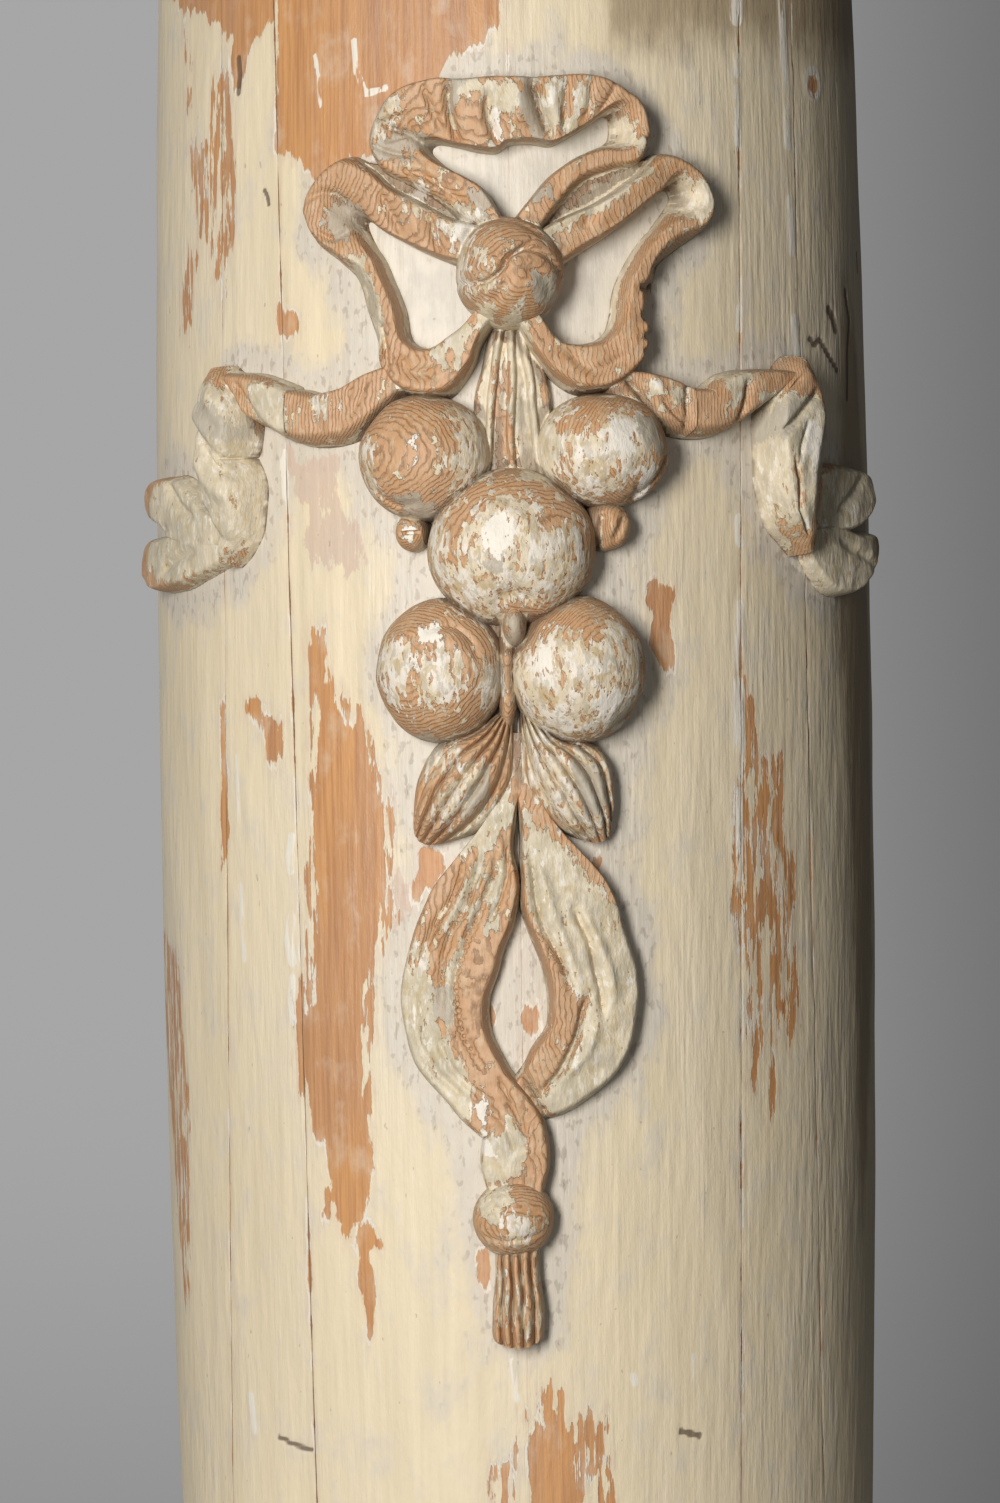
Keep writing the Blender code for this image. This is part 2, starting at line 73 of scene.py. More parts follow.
# Waves of the joints' chips, the plane and the brush: squeeze up the grain, and length across it
CHIP_WAVES = (0.5, 9.0)
PLANE_WAVES = (0.3, 40.0)
BRUSH_WAVES = (0.12, 6.0)
PLANE_SEED = 20
BRUSH_SEED = 40
WAVES = 8
SHARP_ANGLE = 50
# The boards with points closer than this, in mm, get the cracks and dabs
FINE_SPACING = 3
LINE_MARGIN = 6
FAR_AWAY = 99.0
FRAY = 0.45
PATCH_REACH = 15.0


def shaft_radius(height):
    """The radius falls away from the belly as a parabola."""
    return BELLY_RADIUS - SWELLING_DROP * ((height - BELLY_HEIGHT) / SWELLING_REACH) ** 2


def laid_round(drawn):
    """The flat drawing, in mm across, up and out, laid round the shaft, in metres.

    x = r sin(a), y = axis - r cos(a) and z = up, with a = across / belly radius and r = shaft
    radius + out.
    """
    across, up, out = np.moveaxis(drawn, -1, 0)
    angle = across / BELLY_RADIUS
    radius = shaft_radius(up) + out
    x, y = radius * np.sin(angle), AXIS_SETBACK - radius * np.cos(angle)
    return np.stack((x, y, up), -1) / 1000


def unevenness(across, up, size, seed):
    """A smooth random surface: a quarter of the sum of eight sine waves about `size` mm long."""
    total = np.zeros(np.shape(across))
    for turned, phase, stretch in np.random.default_rng(seed).uniform(
            (0, 0, 0.7), (math.pi, 2 * math.pi, 1.5), (WAVES, 3)):
        along = across * math.cos(turned) + up * math.sin(turned)
        total = total + np.sin(2 * math.pi * along / (size * stretch) + phase)
    return total / (WAVES / 2)


def lined(across, up, lines):
    """The deepest of several scratches: depth * (1.5 - d / (2 width)), d mm from each line.

    The share of the depth is kept between 0 and 1, so it is full up to one width from the line
    and ends at three.
    """
    deepest = np.zeros(across.shape)
    for width, depth, *line in lines:
        corners = np.array(line, float)
        low, high = corners.min(0) - LINE_MARGIN, corners.max(0) + LINE_MARGIN
        near = (across > low[0]) & (across < high[0]) & (up > low[1]) & (up < high[1])
        if not near.any():
            continue
        px, py = across[near], up[near]
        nearest = np.full(px.shape, FAR_AWAY)
        for (ax, ay), (bx, by) in zip(corners, corners[1:]):
            run, rise = bx - ax, by - ay
            share = np.clip(((px - ax) * run + (py - ay) * rise) / (run * run + rise * rise), 0, 1)
            nearest = np.minimum(nearest, np.hypot(px - ax - share * run, py - ay - share * rise))
        deepest[near] = np.maximum(deepest[near], depth * np.clip(1.5 - nearest / (2 * width), 0, 1))
    return deepest


def joint_angles(height):
    """Angles of the twelve joints at each height, from the front round through the right side."""
    quarter = [np.zeros(len(height))]
    for angle, lean in ((FRONT_JOINT_ANGLE, FRONT_JOINT_LEAN), (STRIP_JOINT_ANGLE, STRIP_JOINT_LEAN)):
        offset = BELLY_RADIUS * math.sin(math.radians(angle)) + lean * (height - BELLY_HEIGHT)
        quarter.append(np.arcsin(offset / shaft_radius(height)))
    quarter.append(np.full(len(height), math.pi / 2))
    half = quarter + [math.pi - angle for angle in reversed(quarter[:-1])]
    return half + [2 * math.pi - angle for angle in reversed(half[:-1])]


def tube(rings):
    """Points and faces of a skin through rings of points, with a face across each end."""
    rows, around = rings.shape[:2]
    here = np.arange(rows - 1)[:, None] * around + np.arange(around)
    beside = np.arange(rows - 1)[:, None] * around + (np.arange(around) + 1) % around
    quads = np.stack((here, beside, beside + around, here + around), -1).reshape(-1, 4)
    first, last = list(range(around)), list(range((rows - 1) * around, rows * around))
    return rings.reshape(-1, 3), quads.tolist() + [first[::-1], last]


def new_piece(name, shells):
    """One object from shells of drawn points and faces, kept with their drawn places."""
    points, faces, start = [], [], 0
    for shell_points, shell_faces in shells:
        points.append(shell_points)
        faces += [[start + corner for corner in face] for face in shell_faces]
        start += len(shell_points)
    drawn = np.concatenate(points)
    mesh = bpy.data.meshes.new(name)
    mesh.from_pydata(laid_round(drawn).tolist(), [], faces)
    bm = bmesh.new()
    bm.from_mesh(mesh)
    bmesh.ops.recalc_face_normals(bm, faces=bm.faces)
    bm.to_mesh(mesh)
    bm.free()
    mesh.shade_smooth()
    mesh.set_sharp_from_angle(angle=math.radians(SHARP_ANGLE))
    store(mesh, "drawn", drawn / 1000, "FLOAT_VECTOR")
    made = bpy.data.objects.new(name, mesh)
    bpy.context.scene.collection.objects.link(made)
    return made, drawn


def store(mesh, name, values, kind="FLOAT"):
    """Keeps a number or a vector for each point of a mesh, for the materials to read."""
    field = mesh.attributes.new(name, kind, "POINT")
    key = "vector" if kind == "FLOAT_VECTOR" else "value"
    field.data.foreach_set(key, np.ascontiguousarray(values, np.float32).ravel())


def within(across, up, outline, fray=FRAY, reach=PATCH_REACH):
    """Distance in mm inside a patch's outline, negative outside it, and at most `reach`.

    The distance to the nearest side, with heights counted for less by `fray`, because worn paint
    frays along the grain. A point is inside if a line from it crosses the sides an odd number
    of times.
    """
    corners = np.array(outline, float) * (1, fray)
    field = np.full(across.shape, -reach)
    level = up * fray
    low, high = corners.min(0) - reach, corners.max(0) + reach
    near = (across > low[0]) & (across < high[0]) & (level > low[1]) & (level < high[1])
    px, py = across[near], level[near]
    nearest, crossings = np.full(px.shape, reach), np.zeros(px.shape, int)
    for (ax, ay), (bx, by) in zip(corners, np.roll(corners, -1, 0)):
        run, rise = bx - ax, by - ay
        share = ((px - ax) * run + (py - ay) * rise) / max(run * run + rise * rise, 1e-9)
        share = np.clip(share, 0, 1)
        nearest = np.minimum(nearest, np.hypot(px - ax - share * run, py - ay - share * rise))
        if ay != by:
            crossings += ((ay > py) != (by > py)) & (px < ax + (py - ay) * run / rise)
    field[near] = np.where(crossings % 2, nearest, -nearest)
    return field


def patched(across, up, outlines, fray=FRAY):
    """The distance inside the nearest of several patches."""
    field = np.full(across.shape, -PATCH_REACH)
    for outline in outlines:
        field = np.maximum(field, within(across, up, outline, fray))
    return field


# name, angle steps between the joints in mm, and height steps in mm
STAVES = (
    ("front_right_stave", 1.15, 1.7), ("right_front_strip", 1.15, 1.7),
    ("right_forward_stave", 1.5, 2.1), ("right_rear_stave", 5.0, 5.0),
    ("right_rear_strip", 5.0, 5.0), ("rear_right_stave", 5.0, 5.0),
    ("rear_left_stave", 5.0, 5.0), ("left_rear_strip", 5.0, 5.0),
    ("left_rear_stave", 5.0, 5.0), ("left_forward_stave", 1.5, 2.1),
    ("left_front_strip", 1.15, 1.7), ("front_left_stave", 1.15, 1.7),
)


def grained(across, height, waves, seed):
    """Unevenness with its waves drawn out up the grain."""
    squeeze, length = waves
    return unevenness(across, height * squeeze, length, seed)


def stave(number, spacing, rise):
    """A board from one joint to the next: its ring is a rounded face and two inner corners.

    The rounded face stands at the shaft's radius, less an eased arris at each joint, plus the
    board's own step and the plane's waves.
    """
    up = np.linspace(0, SHAFT_LENGTH, round(SHAFT_LENGTH / rise) + 1)
    joints = joint_angles(up)
    first, last = joints[number], joints[number + 1]
    if number >= len(STAVES) / 2:
        first, last = first - 2 * math.pi, last - 2 * math.pi
    open_first, open_last = JOINT_OPENNESS[number], JOINT_OPENNESS[(number + 1) % len(STAVES)]
    first = first * BELLY_RADIUS + JOINT_GAP / 2 * open_first
    last = last * BELLY_RADIUS - JOINT_GAP / 2 * open_last
    width = float((last - first).mean())
    edge = np.array(EDGE_STEPS) / width
    middle = np.linspace(edge[-1], 1 - edge[-1], round(width / spacing))
    share = np.concatenate((edge[:-1], middle, 1 - edge[-2::-1]))
    across = first[:, None] + (last - first)[:, None] * share
    height = np.broadcast_to(up[:, None], across.shape)
    to_edge = np.minimum(share, 1 - share) * width
    openness = np.where(share < 0.5, open_first, open_last)
    step = BOARD_STEP * np.random.default_rng(number).uniform(-1, 1)
    chipped = 1 + CHIPPING * grained(across, height, CHIP_WAVES, number)
    out = step + PLANING_WAVE * grained(across, height, PLANE_WAVES, PLANE_SEED + number)
    out = out + BRUSH_RIDGE * grained(across, height, BRUSH_WAVES, BRUSH_SEED + number)
    out = out - ARRIS_DEPTH * openness * chipped * np.exp(-to_edge / ARRIS_WIDTH)
    if spacing < FINE_SPACING:
        out = out - CRACK_DEPTH * lined(across, height, CRACKS)
        out = out + DAB_HEIGHT * lined(across, height, WHITE_DABS)
    face = np.stack((across, height, out), -1)
    inner_out = BELLY_RADIUS - BOARD_THICKNESS - shaft_radius(up)
    inner = [np.stack((side, up, inner_out), -1)[:, None] for side in (last, first)]
    return np.concatenate([face] + inner, 1), to_edge, openness


# Patches of the paint as outlines in mm, across and up: bare, rubbed, pink, whitened and browned.
# These points, and those of the carving further on, were read off the photo by eye and changed
# to mm by a converter outside this script, then rounded and often moved by hand.
BARE = (
    ((170, 816), (172.5, 820.5), (176.5, 822.5), (180.5, 820.5), (183, 816), (180.5, 811.5), (176.5, 809.5),
     (172, 811.5)),
    ((-118, 858), (-3, 846), (-3, 833), (-17, 823), (-28, 815), (-33, 808), (-51, 800), (-64, 786),
     (-64, 776), (-88, 768), (-96, 764), (-103, 776), (-110, 781), (-118, 782)),
    ((-240, 890), (-118, 870), (-119, 842), (-127, 839), (-136, 833), (-143, 815), (-147, 813),
     (-150, 828), (-149, 838), (-163, 847), (-183, 856), (-201, 862)),
    ((-118, 707), (-106, 703), (-105, 697), (-112, 694), (-118, 697)),
    ((-142, 525), (-134, 527), (-130, 523), (-129, 519), (-124, 516), (-118, 513), (-116, 505), (-118, 498),
     (-123, 497), (-127, 499), (-128, 508), (-131, 515), (-136, 518), (-141, 520)),
    ((-96, 529), (-92, 534), (-86, 524), (-82, 512), (-74, 516), (-70, 499), (-66, 478), (-64, 466),
     (-64, 452), (-64, 436), (-67, 416), (-71, 404), (-75, 386), (-76, 363), (-76, 344), (-73, 326),
     (-73, 307), (-79, 286), (-84, 281), (-88, 273), (-92, 286), (-97, 319), (-104, 327), (-109, 350),
     (-112, 351), (-112, 377), (-100, 386), (-99, 416), (-99, 440), (-101, 467), (-98, 500)),
    ((-81, 282), (-72, 282), (-68, 274), (-75, 271), (-72, 247), (-76, 233), (-80, 255), (-81, 268)),
    ((-99, 301), (-95, 301), (-96, 287), (-100, 287)),
    ((-161, 523), (-158, 523), (-157, 484), (-155, 465), (-158, 451), (-162, 446), (-161, 480)),
    ((-49, 456), (-43, 458), (-37, 455), (-35, 447), (-39, 442), (-48, 433), (-50, 440), (-46, 448)),
    ((32, 443), (37, 452), (39, 450), (37, 443), (31, 440)),
    ((62, 574), (66, 577), (74, 577), (76, 570), (73, 564), (74, 543), (70, 538), (64, 542), (62, 553),
     (64, 562), (61, 569)),
    ((0, 378), (3, 383), (7, 383), (7, 375), (4, 372), (1, 374)),
    ((-18, 383), (-15, 384), (-13, 379), (-15, 376), (-18, 378)),
    ((0, 190), (12, 192), (22, 190), (21, 181), (20, 120), (0, 116)),
    ((-22, 271), (-18, 273), (-17, 264), (-19, 256), (-23, 260)),
)
RUBBED = (
    ((-164, 821), (-154, 821), (-149, 809), (-146, 780), (-144, 766), (-149, 740), (-154, 722),
     (-164, 726), (-169, 745), (-179, 749), (-184, 776), (-188, 791), (-172, 793), (-167, 807)),
    ((-194, 840), (-186, 838), (-182, 816), (-188, 807), (-193, 811)),
    ((-192, 741), (-177, 741), (-181, 718), (-191, 702), (-200, 706)),
    ((-101, 560), (-92, 560), (-90, 534), (-76, 522), (-66, 500), (-60, 470), (-60, 440), (-58, 425),
     (-66, 400), (-70, 380), (-72, 330), (-112, 340), (-116, 385), (-104, 396), (-105, 440), (-103, 500)),
    ((115, 529), (119, 527), (121, 504), (124, 496), (138, 498), (140, 485), (137, 466), (145, 446),
     (144, 423), (148, 383), (148, 365), (138, 364), (134, 376), (128, 328), (125, 344),
     (127, 400), (122, 412), (121, 384), (118, 336), (113, 345), (114, 393), (111, 401),
     (102, 425), (104, 433), (105, 457), (107, 479), (113, 497)),
    ((0, 204), (9, 211), (19, 210), (20, 197), (39, 194), (39, 130), (0, 120)),
    ((-18, 177), (-6, 179), (-6, 130), (-19, 130)),
    ((-264, 421), (-214, 401), (-207, 359), (-204, 324), (-207, 285), (-208, 242), (-221, 235),
     (-241, 321), (-250, 355)),
)
PINK = (
    ((-112, 638), (-84, 637), (-79, 631), (-82, 615), (-70, 591), (-76, 583), (-81, 587),
     (-99, 589), (-104, 599), (-100, 615), (-108, 624), (-112, 632)),
    ((-62, 441), (-51, 440), (-52, 430), (-58, 421), (-62, 426)),
)
WHITENED = (
    ((-33, 774), (-25, 772), (6, 775), (34, 783), (46, 782), (38, 772), (28, 767), (2, 742),
     (-12, 756), (-27, 765)),
    ((-64, 742), (-40, 728), (-14, 708), (-20, 692), (-34, 685), (-44, 688), (-50, 702), (-60, 728)),
    ((14, 712), (44, 731), (66, 746), (60, 730), (47, 706), (43, 690), (28, 686), (14, 698)),
)
BROWNED = (
    ((44, 880), (90, 896), (150, 900), (210, 893), (262, 880), (296, 862), (262, 842), (214, 831),
     (164, 825),
     (120, 828), (96, 824), (69, 818), (46, 822)),
    ((204, 735), (226, 710), (240, 620), (246, 500), (240, 380), (226, 300), (214, 262), (206, 320),
     (196, 480), (182, 580)),
)
# Cracks, and chips that the joints have lost, as lines with their half width and depth in mm
CRACKS = (
    (0.7, 0.9, (-144, 828), (-143, 820), (-144, 812)), (0.5, 0.7, (-126, 764), (-124, 761), (-123, 757)),
    (0.5, 0.7, (-131, 181), (-120, 178), (-110, 177)), (0.6, 0.8, (74, 186), (84, 183)),
    (0.6, 0.9, (165, 694), (170, 691), (175, 694), (181, 689), (188, 684), (194, 680)),
    (1.0, 0.9, (185.5, 709), (190, 706), (193, 700)), (0.8, 0.9, (235, 741), (237, 734)),
    (0.7, 0.9, (208, 720), (211, 712), (214, 707), (209, 690), (208.5, 682), (207, 668)),
)
# Drips and dabs of thick white paint, as lines with their half width and height in mm
WHITE_DABS = (
    (0.6, 0.5, (-74, 828), (-73, 814), (-68, 803), (-58, 805)),
    (0.5, 0.4, (-95, 823), (-93, 812), (-92, 800)),
    (1.2, 0.3, (-150, 198), (-149, 190), (-148, 182)), (0.8, 0.3, (-7, 222), (-6, 213), (-5, 204)),
    (1.0, 0.3, (50, 213), (51, 210)), (0.8, 0.3, (81, 220), (82, 209)), (1.0, 0.3, (113, 222), (114, 217)),
    (0.6, 0.3, (-149, 500), (-148, 470)), (1.0, 0.25, (-148, 439), (-147, 420), (-146, 404)),
    (1.0, 0.4, (-113, 462), (-115, 452), (-114, 446)), (1.3, 0.4, (-114, 424), (-116, 414), (-114, 404)),
    (1.0, 0.4, (-114, 396), (-115, 384), (-114, 376)), (1.0, 0.5, (-115, 640), (-115, 632), (-114, 620)),
    (1.3, 0.5, (111.7, 606), (112.0, 596)), (1.2, 0.5, (110.8, 566), (110.4, 538)),
    (1.4, 0.5, (109.6, 530), (109.4, 500)),
    (1.0, 0.4, (109.0, 480), (108.6, 440)), (1.0, 0.4, (114.9, 704), (114.7, 695)),
    (1.0, 0.4, (117.0, 807), (116.2, 782)),
    (1.7, 0.5, (118.2, 852), (117.8, 840)), (1.0, 0.4, (117.4, 823), (117.2, 814)),
    (1.2, 0.5, (150.2, 852), (150.6, 825), (151.4, 784)), (1.2, 0.5, (152.0, 758), (152.3, 734)),
    (1.5, 0.5, (152.8, 701), (154.6, 686), (157.8, 672)),
    (0.9, 0.4, (169.5, 816), (172, 821), (176, 823), (181, 821), (183.5, 816), (181, 811), (176, 809),
     (171, 811), (169.5, 816)),
    (0.7, 0.4, (146, 588), (157, 582)), (1.2, 0.5, (164, 592), (176, 584), (184, 570)),
)


class Finish:
    """One procedural material. Each method adds a node and gives back its output."""

    def __init__(self, name, roughness):
        """A new node material of this name, with one roughness all over."""
        self.material = bpy.data.materials.new(name)
        self.material.use_nodes = True
        self.tree = self.material.node_tree
        self.shader = self.tree.nodes["Principled BSDF"]
        self.shader.inputs["Roughness"].default_value = roughness

    def node(self, kind, inputs, **settings):
        """A shader node with its settings, whose inputs are linked or given plain values."""
        made = self.tree.nodes.new("ShaderNode" + kind)
        for key, value in settings.items():
            setattr(made, key, value)
        for key, value in inputs.items():
            if isinstance(value, bpy.types.NodeSocket):
                self.tree.links.new(value, made.inputs[key])
            else:
                made.inputs[key].default_value = value
        return made

    def field(self, name):
        """The value of one of the mesh's own attributes."""
        return self.node("Attribute", {}, attribute_name=name).outputs["Fac"]

    def drawn(self, scale=(1, 1, 1), shift=(0, 0, 0)):
        """The place on the flat drawing, stretched by `scale` and moved by `shift`."""
        place = self.node("Attribute", {}, attribute_name="drawn").outputs["Vector"]
        return self.node("Mapping", {"Vector": place, "Scale": scale, "Location": shift}).outputs[0]

    def noise(self, place, scale, detail=3.0, roughness=0.55):
        """A noise of 0 to 1, with about `scale` blots in a metre."""
        inputs = {"Vector": place, "Scale": scale, "Detail": detail, "Roughness": roughness}
        return self.node("TexNoise", inputs).outputs["Fac"]

    def sum(self, first, second):
        """The two values added."""
        return self.node("Math", {0: first, 1: second}, operation="ADD").outputs[0]

    def times(self, first, second):
        """The two values multiplied."""
        return self.node("Math", {0: first, 1: second}, operation="MULTIPLY").outputs[0]

    def most(self, first, second):
        """The larger of the two values."""
        return self.node("Math", {0: first, 1: second}, operation="MAXIMUM").outputs[0]

    def swing(self, value, amount):
        """A noise of 0 to 1 turned into minus to plus `amount`, round its middle."""
        return self.node("Math", {0: value, 1: 2 * amount, 2: -amount}, operation="MULTIPLY_ADD").outputs[0]

    def rise(self, value, low, high):
        """A smooth step from 0 at `low` to 1 at `high`."""
        inputs = {"Value": value, "From Min": low, "From Max": high}
        return self.node("MapRange", inputs, interpolation_type="SMOOTHSTEP").outputs[0]

    def blend(self, share, first, second):
        """The first colour at a share of 0, the second at a share of 1."""
        inputs = {"Fac": share, "Color1": first, "Color2": second}
        return self.node("MixRGB", inputs).outputs[0]

    def bumped(self, height):
        """A relief in metres goes to the shader's normal."""
        bump = self.node("Bump", {"Strength": 1.0, "Distance": 1.0, "Height": height})
        self.tree.links.new(bump.outputs[0], self.shader.inputs["Normal"])


CREAM = (0.80, 0.68, 0.475, 1)
OLIVE_CREAM = (0.62, 0.52, 0.345, 1)
PALE = (0.70, 0.62, 0.49, 1)
WHITE = (0.77, 0.715, 0.61, 1)
COOL_GREY = (0.62, 0.57, 0.50, 1)
PINK_STAIN = (0.60, 0.45, 0.35, 1)
BROWN_STAIN = (0.30, 0.21, 0.11, 1)
DIM_WHITE_AND_SHADE = (0.59, 0.535, 0.455, 1)
OPENING_SHADE = (0.46, 0.41, 0.33, 1)
CRACK_BLACK = (0.10, 0.06, 0.035, 1)
SAWN_EARLY_WOOD = (0.45, 0.27, 0.13, 1)
SAWN_LATE_WOOD = (0.28, 0.15, 0.07, 1)
BARE_PINE = (0.61, 0.31, 0.12, 1)
DARK_PINE = (0.46, 0.215, 0.09, 1)
PURPLE_PINE = (0.40, 0.235, 0.155, 1)
DIRT = (0.16, 0.10, 0.06, 1)

shaft_paint = Finish("worn_cream_paint_on_pine", 0.5)
f = shaft_paint
streaks = f.noise(f.drawn((1, 0.05, 1)), 330.0, 4.0, 0.6)
broad_streaks = f.noise(f.drawn((1, 0.07, 1), (3, 0, 0)), 70.0, 3.0)
grain = f.noise(f.drawn((1, 0.03, 1), (7, 0, 0)), 500.0, 3.0, 0.6)
blotches = f.noise(f.drawn((1, 0.6, 1), (11, 0, 0)), 60.0, 4.0, 0.6)
ragged = f.noise(f.drawn((1, 0.3, 1), (19, 0, 0)), 190.0, 4.0, 0.65)
flaked = f.noise(f.drawn((1, 0.16, 1), (23, 0, 0)), 260.0, 3.0, 0.6)
specks = f.noise(f.drawn((1, 0.5, 1), (5, 0, 0)), 300.0, 2.0, 0.5)
clouds = f.noise(f.drawn((1, 0.45, 1), (17, 0, 0)), 14.0, 3.0)


def shallow(layer, most):
    """A patch's field, no deeper than `most` mm, so that flecks break it up."""
    return f.node("Math", {0: f.field(layer), 1: most}, operation="MINIMUM").outputs[0]


wood = f.blend(f.rise(grain, 0.35, 0.7), BARE_PINE, DARK_PINE)
wood = f.blend(f.times(f.rise(broad_streaks, 0.45, 0.75), 0.4), wood, PURPLE_PINE)
wood = f.blend(f.times(f.rise(clouds, 0.42, 0.65), 0.28), wood, PURPLE_PINE)
wood = f.blend(f.times(f.rise(blotches, 0.5, 0.72), 0.36), wood, PALE)

coat = f.blend(f.times(f.rise(broad_streaks, 0.3, 0.8), 0.55), CREAM, OLIVE_CREAM)
coat = f.blend(f.times(f.rise(streaks, 0.42, 0.8), 0.3), coat, OLIVE_CREAM)
coat = f.blend(f.times(f.rise(blotches, 0.48, 0.68), 0.38), coat, COOL_GREY)
coat = f.blend(f.times(f.rise(flaked, 0.64, 0.74), 0.14), coat, WHITE)
coat = f.blend(f.times(f.rise(clouds, 0.4, 0.7), 0.35), coat, PALE)
# Near the carving the cream turns to a dimmer grey-white: partly greyer paint, partly painted shade round
# the carving's foot.
near = f.rise(f.sum(f.field("near_carving"), f.swing(blotches, 0.7)), 0.08, 0.7)
coat = f.blend(f.times(near, 0.8), coat, f.blend(f.rise(ragged, 0.4, 0.62), DIM_WHITE_AND_SHADE, COOL_GREY))
coat = f.blend(f.times(f.times(near, f.rise(specks, 0.56, 0.64)), 0.3), coat, DIRT)
# In the bow's openings the white paint is clouded with grey and dimmed by a darker mix: painted shade from
# the loops' walls.
white = f.rise(f.sum(f.field("whitened"), f.swing(blotches, 2.5)), -1.0, 1.5)
clouded_shade = f.times(f.rise(f.sum(blotches, f.swing(clouds, 0.5)), 0.42, 0.6), 0.8)
coat = f.blend(white, coat, f.blend(0.28, f.blend(clouded_shade, WHITE, COOL_GREY), OPENING_SHADE))
brown = f.rise(f.sum(f.field("browned"), f.swing(blotches, 9.0)), -5.0, 9.0)
coat = f.blend(f.times(brown, 0.7), coat, BROWN_STAIN)
pink = f.sum(shallow("pink", 2.0), f.sum(f.swing(ragged, 9.0), f.swing(blotches, 7.0)))
pink = f.rise(pink, -0.6, 0.8)
coat = f.blend(f.times(pink, 0.75), coat, PINK_STAIN)
coat = f.blend(f.times(f.rise(specks, 0.72, 0.76), 0.35), coat, DIRT)
frayed = f.noise(f.drawn((1, 0.11, 1), (29, 0, 0)), 260.0, 4.0, 0.6)
bare = f.sum(f.sum(shallow("bare", 3.2), f.swing(frayed, 2.6)),
             f.sum(f.swing(blotches, 3.0), f.swing(ragged, 3.6)))
rubbed = f.sum(shallow("rubbed", 1.8), f.sum(f.swing(frayed, 11.0), f.swing(ragged, 3.0)))
opened = f.sum(f.field("edge"), f.times(f.field("openness"), -1.6))
joint_wear = f.swing(f.noise(f.drawn((0.2, 1, 1)), 26.0, 5.0, 0.7), 3.6)
joint = f.sum(f.times(opened, -1.0), f.sum(joint_wear, -0.9))
bare = f.most(f.most(bare, f.sum(rubbed, -1.4)), joint)
thin = f.times(f.rise(f.most(bare, rubbed), -4.0, 0.5), f.rise(ragged, 0.35, 0.65))
ground_shows = f.times(f.rise(bare, -1.3, -0.9), f.rise(blotches, 0.5, 0.56))
wood_shows = f.rise(bare, -0.35, 0.35)
colour = f.blend(f.times(thin, 0.45), coat, PINK_STAIN)
colour = f.blend(f.times(ground_shows, 0.75), colour, WHITE)
wood = f.blend(f.times(brown, 0.3), wood, BROWN_STAIN)
colour = f.blend(wood_shows, colour, wood)
dabbed = f.times(f.rise(f.field("dabbed"), 0.1, 0.25), f.rise(flaked, 0.4, 0.46))
colour = f.blend(dabbed, colour, WHITE)
colour = f.blend(f.times(f.rise(f.field("cracked"), 0.1, 0.5), 0.8), colour, CRACK_BLACK)
gap = f.rise(f.sum(f.times(f.field("edge"), -1.0), f.times(f.field("openness"), 0.5)), -0.15, 0.15)
colour = f.blend(f.times(f.times(gap, f.rise(joint_wear, -1.2, 0.6)), 0.7), colour, DIRT)
f.tree.links.new(colour, f.shader.inputs["Base Color"])
film = f.sum(f.times(wood_shows, -0.0002), f.times(ground_shows, -0.00008))
brushed = f.sum(f.times(streaks, 0.0002), f.times(grain, 0.0002))
combed = f.noise(f.drawn((1, 0.10, 1), (31, 0, 0)), 420.0, 2.0, 0.5)
combed = f.times(f.times(combed, f.rise(clouds, 0.42, 0.6)), 0.00045)
f.bumped(f.sum(f.sum(film, f.sum(brushed, combed)),
               f.sum(f.times(blotches, 0.0006), f.times(ragged, 0.0004))))

sawn_pine = Finish("sawn_pine_inside", 0.75)
f = sawn_pine
rings = f.noise(f.drawn((1, 0.04, 1)), 120.0, 3.0)
colour = f.blend(f.rise(rings, 0.35, 0.7), SAWN_EARLY_WOOD, SAWN_LATE_WOOD)
f.tree.links.new(colour, f.shader.inputs["Base Color"])
f.bumped(f.times(rings, 0.0003))

stave_pieces = []
for number, (name, spacing, rise) in enumerate(STAVES):
    rings, to_edge, openness = stave(number, spacing, rise)
    points, faces = tube(rings)
    board, drawn = new_piece(name.replace("stave", "board").replace("strip", "narrow_board"),
                             [(points, faces)])
    around = rings.shape[1]
    store(board.data, "edge", np.tile(np.append(to_edge, (0, 0)), len(rings)))
    store(board.data, "openness", np.tile(np.append(openness, (0, 0)), len(rings)))
    across, up = drawn[:, 0], drawn[:, 1]
    for layer, outlines in (("bare", BARE), ("rubbed", RUBBED), ("pink", PINK), ("browned", BROWNED),
                            ("whitened", WHITENED)):
        store(board.data, layer, patched(across, up, outlines))
    store(board.data, "cracked", lined(across, up, CRACKS if spacing < FINE_SPACING else ()))
    store(board.data, "dabbed", lined(across, up, WHITE_DABS if spacing < FINE_SPACING else ()))
    place = np.arange(len(faces))
    inside = (place % around >= around - 3) | (place >= len(faces) - 2)
    board.data.materials.append(shaft_paint.material)
    board.data.materials.append(sawn_pine.material)
    board.data.polygons.foreach_set("material_index", inside.astype(np.int32))
    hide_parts(name)
    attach(board, "root")
    stave_pieces.append((board, drawn))


# The bow's three loops
# The bow is one of the carved forms of the festoon, which was cut from boards about 22 mm thick
# and glued to the shaft. Each loop is a ribbon seen partly on its face and partly on its edge.
SUNK_DEPTH = 1.5
WALL_POINTS = 8
TOP_POINTS = 12
LONG_SLOPE = 9.0
ALONG_SPACING = 1.1
CARVER_WARP = 0.5
GOUGE_WAVE = 0.26
GOUGE_LENGTH = 13.0
RIPPLE_SHARE = 0.4
RIPPLE_LENGTH = 5.0
WARP_LENGTH = 27.0
WARP_SEEDS = (5, 6)
FINE_STEPS = 40
FEWEST_ROWS = 6
CUT_POINTS = 36
FADE_RATE = 6
END_SHARE = 0.25
SHORT_SLOPE = 3
ROUND_POWER = 2.3
POWER_DROP = 1.2
SLOPE_STRETCH = 1.2
WIDEST_SLOPES = 0.92
LEAST_SLOPE = 0.02
ACROSS_SPACING = 1.1
RAISED_OVER = 5


